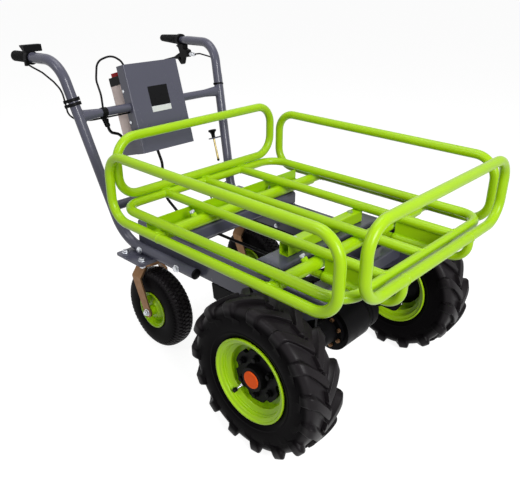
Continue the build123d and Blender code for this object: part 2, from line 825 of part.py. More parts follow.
save(hollowed(deck_bar(tube_d), deck_bar(tube_bore)), "platform_loop")
deck_cutter = deck_bar(tube_d + 0.2)


def deck_slat(x):
    start = Plane((x, deck_y - deck_half_y, deck_z), x_dir=(1, 0, 0), z_dir=(0, 1, 0))
    return largest(hollowed(round_tube(start, tube_d, tube_bore, 2 * deck_half_y), deck_cutter))


save(group([deck_slat(x) for x in (-slat_x, 0, slat_x)]), "deck_slats")

slope45 = math.sqrt(0.5)
clamp_nut_flats = 15.0
screw_r = 4.0


def clamp_plane(x, y):
    return Plane(origin=(x, y, socket_z), x_dir=(1, 0, 0), z_dir=(0, slope45, slope45))


def cross_socket(y):
    with BuildPart() as socket:
        with BuildSketch(Plane((-socket_half_length, y, socket_z), x_dir=(0, 1, 0), z_dir=(1, 0, 0))):
            Circle(socket_d / 2)
        extrude(amount=2 * socket_half_length)
        for x in (-clamp_x, clamp_x):
            with BuildSketch(clamp_plane(x, y)):
                RegularPolygon(clamp_nut_flats / 2, 6, major_radius=False)
            extrude(amount=24)
        for x in (-clamp_x, clamp_x):
            with BuildSketch(clamp_plane(x, y)):
                Circle(screw_r + 0.1)
            extrude(amount=30, mode=Mode.SUBTRACT)
        with BuildSketch(Plane((-socket_half_length, y, socket_z), x_dir=(0, 1, 0), z_dir=(1, 0, 0))):
            Circle(tube_d / 2 + gap)
        extrude(amount=2 * socket_half_length, mode=Mode.SUBTRACT)
    return socket.part


save(group([cross_socket(socket_front_y), cross_socket(socket_rear_y)]), "cross_sockets")

web_t = 5.0
web_top = deck_z - tube_d / 2 - gap
arm_clamp_y = -560.0


def arm_socket(side):
    x = side * slat_x
    start = Plane((x, arm_socket_front, arm_z), x_dir=(1, 0, 0), z_dir=(0, 1, 0))
    clamp = Plane((x, arm_clamp_y, arm_z), x_dir=(0, 1, 0), z_dir=(side, 0, 0))
    with BuildPart() as socket:
        with BuildSketch(start):
            Circle(arm_socket_d / 2)
        extrude(amount=arm_socket_back - arm_socket_front)
        with BuildSketch(Plane.YZ.offset(x - web_t / 2)):
            Polygon((arm_socket_front, arm_z), (arm_socket_back - 2, arm_z), (arm_socket_back - 2, web_top),
                    (arm_socket_front - 26, web_top), align=None)
        extrude(amount=web_t)
        with BuildSketch(clamp):
            RegularPolygon(clamp_nut_flats / 2, 6, major_radius=False)
        extrude(amount=21)
        with BuildSketch(clamp):
            Circle(screw_r + 0.1)
        extrude(amount=25, mode=Mode.SUBTRACT)
        with BuildSketch(start.offset(-30)):
            Circle(arm_d / 2 + gap)
        extrude(amount=arm_socket_back - arm_socket_front + 60, mode=Mode.SUBTRACT)
    return socket.part


save(group([arm_socket(-1), arm_socket(1)]), "arm_sockets")


def clamp_screw(plane, inner, shank, head):
    # A hexagon screw on a socket: it stands off the socket's axis and stops just short of the arm.
    with BuildPart() as piece:
        with BuildSketch(plane.offset(inner)):
            Circle(screw_r)
        extrude(amount=shank)
        with BuildSketch(plane.offset(inner + shank)):
            RegularPolygon(6.5, 6, major_radius=False)
        extrude(amount=head)
    return piece.part


clamp_screws = []
for y in (socket_front_y, socket_rear_y):
    for x in (-clamp_x, clamp_x):
        clamp_screws.append(clamp_screw(clamp_plane(x, y), tube_d / 2 + 2 * gap, 14, 6))
for side in (-1, 1):
    clamp = Plane((side * slat_x, arm_clamp_y, arm_z), x_dir=(0, 1, 0), z_dir=(side, 0, 0))
    clamp_screws.append(clamp_screw(clamp, arm_d / 2 + 2 * gap, 14, 6))
save(group(clamp_screws), "clamp_screws")

angle_leg = 35.0
angle_t = 3.0
angle_back = -5.0
with BuildPart() as rear_angle:
    with BuildSketch(Plane.YZ.offset(-end_rail_half)):
        with BuildLine():
            Polyline((angle_back, rail_high + beam_high), (angle_back, web_top), (angle_back - angle_t, web_top),
                     (angle_back - angle_t, rail_high + beam_high + angle_t),
                     (angle_back - angle_leg, rail_high + beam_high + angle_t),
                     (angle_back - angle_leg, rail_high + beam_high), close=True)
        make_face()
    extrude(amount=2 * end_rail_half)
    with BuildSketch(Plane.XY.offset(rail_high + beam_high)):
        with Locations((-rear_bolt_x, rear_bolt_y), (rear_bolt_x, rear_bolt_y)):
            Circle(handle_bolt_r + bolt_clearance)
    extrude(amount=10, mode=Mode.SUBTRACT)
save(rear_angle.part, "rear_angle")

support_half_x = 155.0
support_wide = 30.0
support_low = rail_high + beam_high + 0.1
support_plane = Plane((-support_half_x, mid_beam_y, (support_low + web_top) / 2), x_dir=(0, 1, 0), z_dir=(1, 0, 0))
support_tube = box_tube(support_plane, support_wide, web_top - support_low, 4, 2, 2 * support_half_x)
with BuildPart() as front_support_bar:
    add(support_tube)
    with BuildSketch(Plane.XY.offset(support_low)):
        with Locations((-front_bolt_x, mid_beam_y), (front_bolt_x, mid_beam_y)):
            Circle(handle_bolt_r + bolt_clearance)
    extrude(amount=60, mode=Mode.SUBTRACT)
save(front_support_bar.part, "front_support_bar")

platform_bolts = []
beam_under = rail_high + beam_high - chassis_wall
for x in (-rear_bolt_x, rear_bolt_x):
    head = Plane((x, rear_bolt_y, beam_under), z_dir=(0, 0, 1))
    platform_bolts.append(bolt(head, handle_bolt_r, chassis_wall + angle_t, 13, 5.5, 13, 6.5, 8))
for x in (-front_bolt_x, front_bolt_x):
    head = Plane((x, mid_beam_y, web_top), z_dir=(0, 0, -1))
    platform_bolts.append(bolt(head, handle_bolt_r, web_top - beam_under, 13, 5.5, 13, 6.5, 4))
save(group(platform_bolts), "platform_bolts")

# Guard rails: the side rails slide in the cross sockets, the front one in the arm sockets
def side_rail(side, x):
    middle = Plane((side * x, side_rail_y, (socket_z + side_rail_top) / 2), x_dir=(0, 1, 0), z_dir=(1, 0, 0))
    high = side_rail_top - socket_z
    loop = loop_bar(middle, 2 * side_rail_half, high, rail_corner, tube_d)
    loop_bore = loop_bar(middle, 2 * side_rail_half, high, rail_corner, tube_bore)
    arm_places = [(y - side_rail_y, -high / 2) for y in (socket_front_y, socket_rear_y)]
    inward = -side * (x - side_arm_end)
    with BuildPart() as rail:
        add(loop)
        with BuildSketch(middle):
            with Locations(*arm_places):
                Circle(tube_d / 2)
        extrude(amount=inward)
        add(loop_bore, mode=Mode.SUBTRACT)
        with BuildSketch(middle.offset(-side * tube_d)):
            with Locations(*arm_places):
                Circle(tube_bore / 2)
        extrude(amount=inward, mode=Mode.SUBTRACT)
    return rail.part


save(side_rail(-1, right_rail_x), "guard_rail_right")
save(side_rail(1, left_rail_x), "guard_rail_left")

front_middle = Plane((0, front_rail_y, (front_rail_low + front_rail_top) / 2), x_dir=(1, 0, 0), z_dir=(0, -1, 0))
front_high = front_rail_top - front_rail_low
front_loop = loop_bar(front_middle, 2 * end_rail_half, front_high, rail_corner, tube_d)
front_bore = loop_bar(front_middle, 2 * end_rail_half, front_high, rail_corner, tube_bore)
front_arms = []
for x in (-slat_x, slat_x):
    arm_route = [(x, front_rail_y, front_rail_low), (x, front_rail_y, arm_z), (x, front_arm_end, arm_z)]
    front_arms.append(bent_tube(arm_route, [front_arm_bend], arm_d, 0))
with BuildPart() as guard_rail_front:
    add(front_loop)
    add(front_arms)
    add(front_bore, mode=Mode.SUBTRACT)
    with BuildSketch(Plane((0, front_arm_end, arm_z), x_dir=(1, 0, 0), z_dir=(0, -1, 0))):
        with Locations((-slat_x, 0), (slat_x, 0)):
            Circle(arm_d / 2 - 2)
    extrude(amount=175, mode=Mode.SUBTRACT)
save(guard_rail_front.part, "guard_rail_front")

rear_middle = Plane((0, rear_rail_y, (rear_rail_low + rear_rail_top) / 2), x_dir=(1, 0, 0), z_dir=(0, -1, 0))
rear_high = rear_rail_top - rear_rail_low
bead_y = (rear_rail_y + deck_y + deck_half_y) / 2
bead_z = (rear_rail_low + deck_z) / 2
rear_loop = loop_bar(rear_middle, 2 * rear_rail_half, rear_high, rail_corner, tube_d)
rear_bore = loop_bar(rear_middle, 2 * rear_rail_half, rear_high, rail_corner, tube_bore)
weld_cutter = deck_bar(tube_d + 0.02)
with BuildPart() as guard_rail_rear:
    add(rear_loop)
    for x in (-slat_x, 0, slat_x):
        with BuildSketch(Plane.YZ.offset(x - 15)):
            with Locations((bead_y, bead_z)):
                Circle(6)
        extrude(amount=30)
    add(rear_bore, mode=Mode.SUBTRACT)
    add(weld_cutter, mode=Mode.SUBTRACT)
save(guard_rail_rear.part, "guard_rail_rear")

# Drive wheels: a lugged tyre on a deep rim, a scalloped hub on the half shaft and a cap
lug_pitch = 360.0 / lugs_per_side
lug_lead = 36.0
lug_half_thick = 16.0
lug_past_middle = 4.0
lug_root = 150.0


def tyre_lug(side, half):
    # One slanting bar from just past the middle of the tread to the shoulder on one half.
    inner = -half * side * lug_past_middle
    outer = half * side * (tyre_half_width + 2)
    with BuildPart() as ring:
        with BuildSketch(wheel_plane(side * half, half * drive_wheel_x, axle_y, axle_z)):
            with BuildLine():
                Polyline((-lug_past_middle, 182), (-lug_past_middle, tyre_r - 0.5), (38, tyre_r), (50, tyre_r - 3),
                         (tyre_half_width, tyre_r - 10), (tyre_half_width, 171), (48, 168), (40, 178), close=True)
            make_face()
        revolve(axis=Axis((0, axle_y, axle_z), (1, 0, 0)))
    with BuildPart() as lug:
        with BuildSketch(Plane((side * drive_wheel_x, axle_y, axle_z + lug_root))):
            Polygon((inner, -lug_lead - lug_half_thick), (inner, -lug_lead + lug_half_thick),
                    (outer, lug_lead + lug_half_thick), (outer, lug_lead - lug_half_thick), align=None)
        extrude(amount=tyre_r - lug_root + 5)
        add(ring.part, mode=Mode.INTERSECT)
    return lug.part


def drive_tyre(side):
    lugs = []
    spin = Axis((0, axle_y, axle_z), (1, 0, 0))
    for half, start in ((-1, 0.0), (1, lug_pitch / 2)):
        first = tyre_lug(side, half)
        lugs += [first.rotate(spin, start + k * lug_pitch) for k in range(lugs_per_side)]
    with BuildPart() as tyre:
        with BuildSketch(wheel_plane(side, drive_wheel_x, axle_y, axle_z)):
            with BuildLine():
                bead = Line((45.4, bead_seat_r + gap), (45.4, rim_flange_r + 2))
                outer_half = Spline(bead @ 1, (49.6, 118), (53.6, 138), (53.6, 158), (50, 174),
                                    (43, 184), (28, 188), (0, carcass_r), tangents=((0, 1), (-1, 0)))
                inner_half = Spline((38, bead_seat_r + gap), (43, 120), (46.4, 140), (46, 160), (40, 175),
                                    (24, 180.5), (0, carcass_r - 7.5), tangents=((0, 1), (-1, 0)))
                Line(bead @ 0, inner_half @ 0)
                Line(outer_half @ 1, inner_half @ 1)
            make_face()
            mirror(about=Plane.YZ)
        revolve(axis=spin)
        add(lugs)
    return tyre.part


spigot_r = 25.0
wheel_bolt_circle = 50.0
hub_flange_t = 11.0
boss_r = 34.0


def drive_rim(side):
    well_in = rim_well_r - rim_t
    outer_half = [(26, well_in), (32, 96), (45, 98), (rim_half_width, rim_flange_r - rim_lip),
                  (rim_half_width, rim_flange_r), (46, rim_flange_r), (46, bead_seat_r), (30, bead_seat_r - 2),
                  (24, rim_well_r)]
    barrel = outer_half + [(-out, r) for out, r in reversed(outer_half)]
    with BuildPart() as rim:
        with BuildSketch(wheel_plane(side, drive_wheel_x, axle_y, axle_z)):
            with BuildLine():
                Polyline(*barrel, close=True)
            make_face()
            with Locations((disc_out - disc_t / 2, (spigot_r + gap + rim_well_r - 1) / 2)):
                Rectangle(disc_t, rim_well_r - 1 - spigot_r - gap)
        revolve(axis=Axis((0, axle_y, axle_z), (1, 0, 0)))
    return rim.part


def drive_hub(side):
    face = Plane((side * (drive_wheel_x + disc_out + 0.1), axle_y, axle_z), x_dir=(0, 1, 0), z_dir=(side, 0, 0))
    with BuildPart() as hub:
        with BuildSketch(face):
            Circle(hub_flange_r)
            with PolarLocations(hub_flange_r + 5, 6):
                Circle(13, mode=Mode.SUBTRACT)
        extrude(amount=hub_flange_t)
        with BuildSketch(face.offset(hub_flange_t)):
            with PolarLocations(wheel_bolt_circle, 6, start_angle=30):
                Circle(9)
        extrude(amount=4)
        with BuildSketch(face.offset(hub_flange_t)):
            Circle(boss_r)
        extrude(amount=hub_face_out - disc_out - hub_flange_t, taper=12)
        with BuildSketch(face):
            Circle(spigot_r)
        extrude(amount=-30)
        with BuildSketch(face.offset(-30)):
            Circle(15)
        extrude(amount=-128)
    return hub.part


def drive_cap(side):
    seat = Plane((side * (drive_wheel_x + hub_face_out + gap), axle_y, axle_z), x_dir=(0, 1, 0), z_dir=(side, 0, 0))
    with BuildPart() as cap:
        with BuildSketch(seat):
            Circle(cap_r)
        extrude(amount=cap_t)
        fillet(cap.faces().sort_by(Axis.X)[0 if side < 0 else -1].edges(), 1.2)
    return cap.part


for side, name in ((-1, "right"), (1, "left")):
    save(drive_tyre(side), f"drive_tyre_{name}")
    save(drive_rim(side), f"drive_rim_{name}")
    save(drive_hub(side), f"drive_hub_{name}")
    save(drive_cap(side), f"drive_cap_{name}")

# Casters: a bolted plate with its race, a forked yoke, a pressed rim and a small tyre
plate_high = cross_plate_low
plate_low = plate_high - caster_plate_t
crown_low = 258.0
crown_t = 6.0
race_gap = 1.0
race_mid = 275.0
wheel_y = swivel_y - caster_trail
kingpin_low = 250.0


def caster_plate(side):
    x = side * caster_x
    with BuildPart() as plate:
        with BuildSketch(Plane((x, swivel_y, plate_low))):
            RectangleRounded(caster_plate_x, caster_plate_y, 8)
            with GridLocations(caster_bolts_x, caster_bolts_y, 2, 2):
                Circle(caster_bolt_r + bolt_clearance, mode=Mode.SUBTRACT)
        extrude(amount=caster_plate_t)
        with BuildSketch(Plane((x, swivel_y, plate_low))):
            Circle(38)
        extrude(amount=race_mid - plate_low, taper=4)
        with BuildSketch(Plane((x, swivel_y, plate_low))):
            Circle(kingpin_r)
        extrude(amount=kingpin_low - plate_low)
        with BuildSketch(Plane((x, swivel_y, kingpin_low + 1))):
            RegularPolygon(11, 6, major_radius=False)
        extrude(amount=crown_low - kingpin_low - 1 - gap)
    return plate.part


save(group([caster_plate(-1), caster_plate(1)]), "caster_plates")

caster_bolts = []
for side in (-1, 1):
    for x in (-caster_bolts_x / 2, caster_bolts_x / 2):
        for y in (-caster_bolts_y / 2, caster_bolts_y / 2):
            head = Plane((side * caster_x + x, swivel_y + y, rail_low), z_dir=(0, 0, -1))
            if abs(abs(head.origin.X) - rail_mid_x) < 30:
                head = Plane((side * caster_x + x, swivel_y + y, plate_low), z_dir=(0, 0, 1))
            caster_bolts.append(bolt(head, caster_bolt_r, cross_plate_t + caster_plate_t, 16, 6.5, 16, 8, 3))
save(group(caster_bolts), "caster_bolts")

leg_r = 17.0
leg_top_half = 20.0
crown_flat_half = 26.0
shoulder_inset = 3.0
shoulder_low = 226.0
shoulder_rise = 5.0
race_cup_r = 36.0


def caster_fork(side):
    # The crown is flat under the race, slopes down over the tyre's shoulders and ends in two legs.
    x = side * caster_x
    leg_out = caster_leg_in + caster_leg_t
    arch_half = [(crown_flat_half, crown_low + crown_t), (leg_out, shoulder_low + shoulder_rise),
                 (leg_out, shoulder_low), (caster_leg_in, shoulder_low), (crown_flat_half - shoulder_inset, crown_low)]
    arch = arch_half + [(-out, z) for out, z in reversed(arch_half)]
    with BuildPart() as fork:
        with BuildSketch(Plane((x, swivel_y, 0), x_dir=(1, 0, 0), z_dir=(0, -1, 0))):
            Polygon(*arch, align=None)
        extrude(amount=leg_top_half, both=True)
        with BuildSketch(Plane((x, swivel_y, crown_low + crown_t))):
            Circle(race_cup_r)
        extrude(amount=race_mid - race_gap - crown_low - crown_t)
        for leg in (-1, 1):
            with BuildSketch(Plane.YZ.offset(x + leg * caster_leg_in)):
                with Locations((wheel_y, caster_r)):
                    Circle(leg_r)
                Polygon((swivel_y - leg_top_half, shoulder_low), (swivel_y + leg_top_half, shoulder_low),
                        (wheel_y + leg_r, caster_r), (wheel_y - leg_r, caster_r), align=None)
            extrude(amount=leg * caster_leg_t)
        with BuildSketch(Plane((x, swivel_y, crown_low - 20))):
            Circle(kingpin_r + 0.05)
        extrude(amount=60, mode=Mode.SUBTRACT)
        with BuildSketch(Plane.YZ.offset(x)):
            with Locations((wheel_y, caster_r)):
                Circle(caster_axle_r + 0.1)
        extrude(amount=80, both=True, mode=Mode.SUBTRACT)
    return fork.part


def caster_axle(side):
    outer = caster_leg_in + caster_leg_t
    head = Plane((side * (caster_x + outer), wheel_y, caster_r), z_dir=(-side, 0, 0))
    return bolt(head, caster_axle_r, 2 * outer, 16, 6, 16, 8, 4)


def caster_rim(side):
    w = caster_half_width
    seat_r = caster_rim_r - 4
    outer_half = [(w + 9, caster_bore_r), (w + 9, 16), (w - 5, 16), (w - 5, 23), (w - 8, 26), (12, 44), (w - 8, 47),
                  (w - 8, seat_r - 2), (w - 1, seat_r), (w - 1, caster_rim_r), (w - 4, caster_rim_r), (w - 4, seat_r),
                  (14, seat_r - 2), (10, 47)]
    outline = outer_half + [(-out, r) for out, r in reversed(outer_half)]
    with BuildPart() as rim:
        with BuildSketch(wheel_plane(side, caster_x, wheel_y, caster_r)):
            with BuildLine():
                Polyline(*outline, close=True)
            make_face()
        revolve(axis=Axis((0, wheel_y, caster_r), (1, 0, 0)))
    return rim.part


def caster_tyre(side):
    w = caster_half_width
    bead = caster_rim_r - 4 + gap
    with BuildPart() as tyre:
        with BuildSketch(wheel_plane(side, caster_x, wheel_y, caster_r)):
            with BuildLine():
                seat = Line((w - 4.4, bead), (w - 4.4, caster_rim_r + 1.5))
                outer_half = Spline(seat @ 1, (w - 2, 66), (w, 84), (w - 3, 108), (w - 11, 120), (14, 124),
                                    (0, caster_r), tangents=((0.3, 1), (-1, 0)))
                inner_half = Spline((w - 11, bead), (w - 8.5, 66), (w - 7, 84), (w - 11, 106), (12, 115),
                                    (0, caster_r - 9), tangents=((0.3, 1), (-1, 0)))
                Line(seat @ 0, inner_half @ 0)
                Line(outer_half @ 1, inner_half @ 1)
            make_face()
            mirror(about=Plane.YZ)
        revolve(axis=Axis((0, wheel_y, caster_r), (1, 0, 0)))
    return tyre.part


for side, name in ((-1, "right"), (1, "left")):
    save(group([caster_fork(side), caster_axle(side)]), f"caster_fork_{name}")
    save(caster_rim(side), f"caster_rim_{name}")
    save(caster_tyre(side), f"caster_tyre_{name}")
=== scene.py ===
# %% [markdown]
# An electric platform barrow: a tube deck with guard rails on two lugged drive wheels
# and two swivel casters, with raised handles, a control box and a lift-out battery.
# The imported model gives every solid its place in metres, so nothing is moved here.
# This lesson gives each surface its finish and adds the small things that a maker
# would fit last: tread, beads of weld, nuts, valves, ties, plugs and grips.

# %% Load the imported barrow
import json
import math
import bmesh
import bpy
from mathutils import Matrix, Vector


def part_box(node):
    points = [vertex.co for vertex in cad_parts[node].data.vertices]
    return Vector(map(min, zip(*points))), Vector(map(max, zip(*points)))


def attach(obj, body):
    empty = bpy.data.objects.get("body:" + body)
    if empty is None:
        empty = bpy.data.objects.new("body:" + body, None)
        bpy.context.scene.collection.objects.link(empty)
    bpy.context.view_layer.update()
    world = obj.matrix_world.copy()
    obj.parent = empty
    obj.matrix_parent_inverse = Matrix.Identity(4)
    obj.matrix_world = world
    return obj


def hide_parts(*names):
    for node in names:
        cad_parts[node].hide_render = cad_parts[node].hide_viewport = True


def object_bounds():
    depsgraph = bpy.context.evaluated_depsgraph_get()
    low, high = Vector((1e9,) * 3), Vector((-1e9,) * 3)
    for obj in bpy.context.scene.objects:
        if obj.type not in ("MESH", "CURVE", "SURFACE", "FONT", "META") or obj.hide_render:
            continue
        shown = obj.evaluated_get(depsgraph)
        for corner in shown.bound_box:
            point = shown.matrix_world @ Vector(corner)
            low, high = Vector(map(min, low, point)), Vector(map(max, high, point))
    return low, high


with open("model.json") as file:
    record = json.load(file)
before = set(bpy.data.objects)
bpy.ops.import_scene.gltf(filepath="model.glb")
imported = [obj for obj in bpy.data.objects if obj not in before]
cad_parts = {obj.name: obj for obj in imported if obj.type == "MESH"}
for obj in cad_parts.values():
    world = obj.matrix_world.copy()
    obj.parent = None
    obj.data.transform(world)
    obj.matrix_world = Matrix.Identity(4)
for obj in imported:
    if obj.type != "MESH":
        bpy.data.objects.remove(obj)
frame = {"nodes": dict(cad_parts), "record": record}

scene = bpy.context.scene
cad_low, cad_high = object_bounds()
mm = 0.001
barrow_size = [round(high - low, 3) for low, high in zip(cad_low, cad_high)]
print("barrow", barrow_size, "metres,", len(frame["nodes"]), "nodes")

# %% [markdown]
# The photograph was taken from the front right corner of the load end, a little above
# the handles. A camera is an object whose own axes say where right, up and back are,
# so the three directions are written as the columns of its matrix.

# %% Camera at the photograph's angle
picture_width = 520
focal_pixels = 595.77
sensor_mm = 36.0
camera_place = Vector((-1.1483, -1.19335, 1.0748))
yaw = math.radians(-46.94)
pitch = math.radians(24.87)
roll = math.radians(0.36)
level_right = Vector((math.cos(yaw), math.sin(yaw), 0.0))
ahead = Vector((-math.sin(yaw) * math.cos(pitch), math.cos(yaw) * math.cos(pitch), -math.sin(pitch)))
level_up = level_right.cross(ahead)
right = level_right * math.cos(roll) + level_up * math.sin(roll)
up = level_up * math.cos(roll) - level_right * math.sin(roll)
camera_data = bpy.data.cameras.new("photo_camera")
camera_data.sensor_width = sensor_mm
camera_data.lens = sensor_mm * focal_pixels / picture_width
camera = bpy.data.objects.new("photo_camera", camera_data)
scene.collection.objects.link(camera)
turn = Matrix((right, up, -ahead)).transposed()
camera.matrix_world = Matrix.Translation(camera_place) @ turn.to_4x4()
scene.camera = camera
print("lens", round(camera_data.lens, 2), "mm")

# %% [markdown]
# Colours are written as a painter would read them from a screen, as sRGB hex values,
# and turned to the linear numbers that light is worked out in. A finish is a small tree
# of shader nodes. Most trees grow the same few branches, which are clouds of noise, a
# colour between two, a range of roughness and a bump, so each branch has a helper.

# %% Colour and node helpers
def linear(hex_colour):
    channels = [int(hex_colour[i:i + 2], 16) / 255 for i in (1, 3, 5)]
    return tuple(c / 12.92 if c <= 0.04045 else ((c + 0.055) / 1.055) ** 2.4 for c in channels) + (1.0,)


def feed(tree, made, values):
    # A value that is another node's socket is linked, and any other is set.
    for name, value in values.items():
        if isinstance(value, bpy.types.NodeSocket):
            tree.links.new(value, made.inputs[name])
        else:
            made.inputs[name].default_value = value


def node(tree, kind, values=None, **settings):
    made = tree.nodes.new("ShaderNode" + kind)
    for name, value in settings.items():
        setattr(made, name, value)
    feed(tree, made, values or {})
    return made


def per_metre(size_mm):
    # Noise of this scale has grains of about this size.
    return 1.0 / (size_mm * mm)


def noise(tree, place, grain_mm, detail, rough=0.5):
    values = {"Vector": place, "Scale": per_metre(grain_mm), "Detail": detail, "Roughness": rough}
    return node(tree, "TexNoise", values).outputs["Fac"]


def blend(tree, share, first, second):
    # A colour between two, each a hex value or the colour of another node.
    first, second = (linear(end) if isinstance(end, str) else end for end in (first, second))
    values = {"Factor": share, "A": first, "B": second}
    return node(tree, "Mix", values, data_type="RGBA").outputs["Result"]


def spread(tree, share, low, high):
    # Noise lies mostly between 0.3 and 0.7, and this stretches it from low to high.
    values = {"Value": share, "From Min": 0.3, "From Max": 0.7, "To Min": low, "To Max": high}
    return node(tree, "MapRange", values).outputs[0]


def bump(tree, height, strength, depth_mm):
    values = {"Height": height, "Strength": strength, "Distance": depth_mm * mm}
    return node(tree, "Bump", values).outputs["Normal"]


def new_finish(name):
    finish = bpy.data.materials.new(name)
    finish.use_nodes = True
    tree = finish.node_tree
    place = node(tree, "TexCoord").outputs["Object"]
    return finish, tree, tree.nodes["Principled BSDF"], place


print("middle grey in linear light", round(linear("#808080")[0], 3))

# %% [markdown]
# The floor is plain and pale, and it takes the barrow's shadow as any floor does. Rays
# that show the background see a glow from the floor and a bright sky, so that both read
# as the white sheet of a catalogue photograph, also in a shiny bolt, without any more
# light falling on the barrow.

# %% Floor, sky and lamps
white = (1.0, 1.0, 1.0, 1.0)
floor_half = 30.0
floor_glow = 0.9
sky_light = 0.22


def seen_rays(tree):
    # 1 for rays that show the background: straight to the camera, mirrored or through glass.
    path = node(tree, "LightPath")
    mirrored = node(tree, "Math", {0: path.outputs["Is Camera Ray"], 1: path.outputs["Is Glossy Ray"]},
                    operation="MAXIMUM")
    shown = node(tree, "Math", {0: mirrored.outputs[0], 1: path.outputs["Is Transmission Ray"]},
                 operation="MAXIMUM")
    return shown.outputs[0]


scene.view_settings.view_transform = "Standard"
floor_mesh = bmesh.new()
bmesh.ops.create_grid(floor_mesh, x_segments=1, y_segments=1, size=floor_half)
floor_data = bpy.data.meshes.new("studio_floor")
floor_mesh.to_mesh(floor_data)
floor_mesh.free()
floor = bpy.data.objects.new("studio_floor", floor_data)
scene.collection.objects.link(floor)

paper, tree, shader, place = new_finish("matte_white_paper")
glow = node(tree, "Math", {0: seen_rays(tree), 1: floor_glow}, operation="MULTIPLY")
feed(tree, shader, {"Base Color": linear("#949494"), "Roughness": 0.9, "Specular IOR Level": 0.0,
                    "Emission Color": white, "Emission Strength": glow.outputs[0]})
floor_data.materials.append(paper)

world = bpy.data.worlds.new("studio_sky")
scene.world = world
world.use_nodes = True
tree = world.node_tree
strength = node(tree, "MapRange", {"Value": seen_rays(tree), "To Min": sky_light, "To Max": 1.0})
feed(tree, tree.nodes["Background"], {"Color": white, "Strength": strength.outputs[0]})

# Each lamp has its place and its width in metres, and its power in watts.
lamps = {
    "top_softbox": ((0.1, 0.2, 3.1), 1.8, 31.0),
    "front_softbox": ((-1.0, -3.0, 1.9), 1.2, 81.0),
    "side_softbox": ((-2.6, 0.4, 2.4), 0.8, 16.5),
}
aim = Vector((0.0, -0.1, 0.45))
for name, (spot, width, power) in lamps.items():
    lamp_data = bpy.data.lights.new(name, "AREA")
    lamp_data.size = width
    lamp_data.energy = power
    lamp = bpy.data.objects.new(name, lamp_data)
    scene.collection.objects.link(lamp)
    lamp.location = spot
    lamp.rotation_euler = (aim - Vector(spot)).to_track_quat("-Z", "Y").to_euler()
print(len(lamps), "soft lamps over a pale floor")

# %% [markdown]
# The rails, deck and rims are steel with a lime powder coat. The powder melts into a
# thick glossy skin, so it is a smooth dielectric with a slight orange-peel ripple a
# few millimetres across, a hint of thin and thick areas, and a soft clear highlight.

# %% Lime powder coat
def powder_coat(name, light, deep, rough_low, rough_high, coat, peel_mm, peel_depth_mm):
    finish, tree, shader, place = new_finish(name)
    thickness = noise(tree, place, grain_mm=90.0, detail=3.0, rough=0.55)
    handled = noise(tree, place, grain_mm=60.0, detail=3.0)
    peel = noise(tree, place, grain_mm=peel_mm, detail=2.0)
    feed(tree, shader, {
        "Base Color": blend(tree, thickness, light, deep),
        "Roughness": spread(tree, handled, rough_low, rough_high),
        "Normal": bump(tree, peel, strength=0.1, depth_mm=peel_depth_mm),
        "IOR": 1.5,
        "Specular IOR Level": 0.26,
        "Coat Weight": coat,
        "Coat Roughness": 0.12,
    })
    return finish


# Melted polyester powder gives a clean bright yellow-green with a rolling, slightly soft highlight.
lime_paint = powder_coat("lime_powder_coat_on_steel", "#AAD60E", "#9ECA08", rough_low=0.28, rough_high=0.34,
                         coat=0.06, peel_mm=4.0, peel_depth_mm=0.04)
print("made", lime_paint.name)

# %% [markdown]
# The chassis, handles and control box are steel too, with a blue-grey powder. It is the
# same kind of skin, so the same function makes it, with a finer ripple and a little more
# clear coat to give the dark colour its highlights.

# %% Grey powder coat
# Polyester powder gives a cool dark grey with a quiet highlight.
grey_paint = powder_coat("satin_grey_powder_coat_on_steel", "#565666", "#525261", rough_low=0.24,
                         rough_high=0.28, coat=0.16, peel_mm=3.0, peel_depth_mm=0.03)
print("made", grey_paint.name)

# %% [markdown]
# The gear case, motor and wheel hubs are cast and turned iron under black paint. A
# casting keeps the grain of its sand mould, so it has a coarse bump and an uneven
# gloss where paint has pooled.

# %% Black paint on castings
# Enamel over sand-cast iron: near black, grainy, with small broken highlights.
cast_metal, tree, shader, place = new_finish("black_enamel_on_cast_iron")
grain = noise(tree, place, grain_mm=2.6, detail=4.0, rough=0.6)
pooled = noise(tree, place, grain_mm=22.0, detail=3.0)
feed(tree, shader, {
    "Base Color": blend(tree, pooled, "#060607", "#0D0C0E"),
    "Roughness": spread(tree, pooled, 0.3, 0.5),
    "Normal": bump(tree, grain, strength=0.5, depth_mm=0.25),
    "Specular IOR Level": 0.05,
})
print("made", cast_metal.name)

# %% [markdown]
# Bolts, nuts and small rods are plated. Bright zinc is a pale bluish metal, and yellow
# passivated zinc is a warm brownish one. Both have faint cloudy patches and a fine drawn
# or rolled grain, so one function makes them from two colours and the size of a cloud.

# %% Plated metals
def plated(name, light, dark, rough_low, rough_high, cloud_mm):
    finish, tree, shader, place = new_finish(name)
    clouds = noise(tree, place, grain_mm=cloud_mm, detail=4.0, rough=0.6)
    fine = noise(tree, place, grain_mm=1.2, detail=2.0)
    feed(tree, shader, {
        "Base Color": blend(tree, clouds, light, dark),
        "Roughness": spread(tree, clouds, rough_low, rough_high),
        "Normal": bump(tree, fine, strength=0.25, depth_mm=0.05),
        "Metallic": 1.0,
    })
    return finish


# Electroplated zinc: a cool silver that is never quite a mirror.
zinc = plated("bright_zinc_plated_steel", "#D6D8DC", "#B9BCC2", 0.22, 0.38, cloud_mm=7.0)
# Chromate over zinc on pressed steel: a dull warm brown with soft cloudy patches.
yellow_zinc = plated("yellow_passivated_pressed_steel", "#87674B", "#775A40", 0.42, 0.58, cloud_mm=16.0)
# Chromate over a drawn rod: a pale straw metal with a long highlight.
brass_zinc = plated("yellow_passivated_drawn_rod", "#B0A06E", "#9C8A5C", 0.26, 0.4, cloud_mm=8.0)
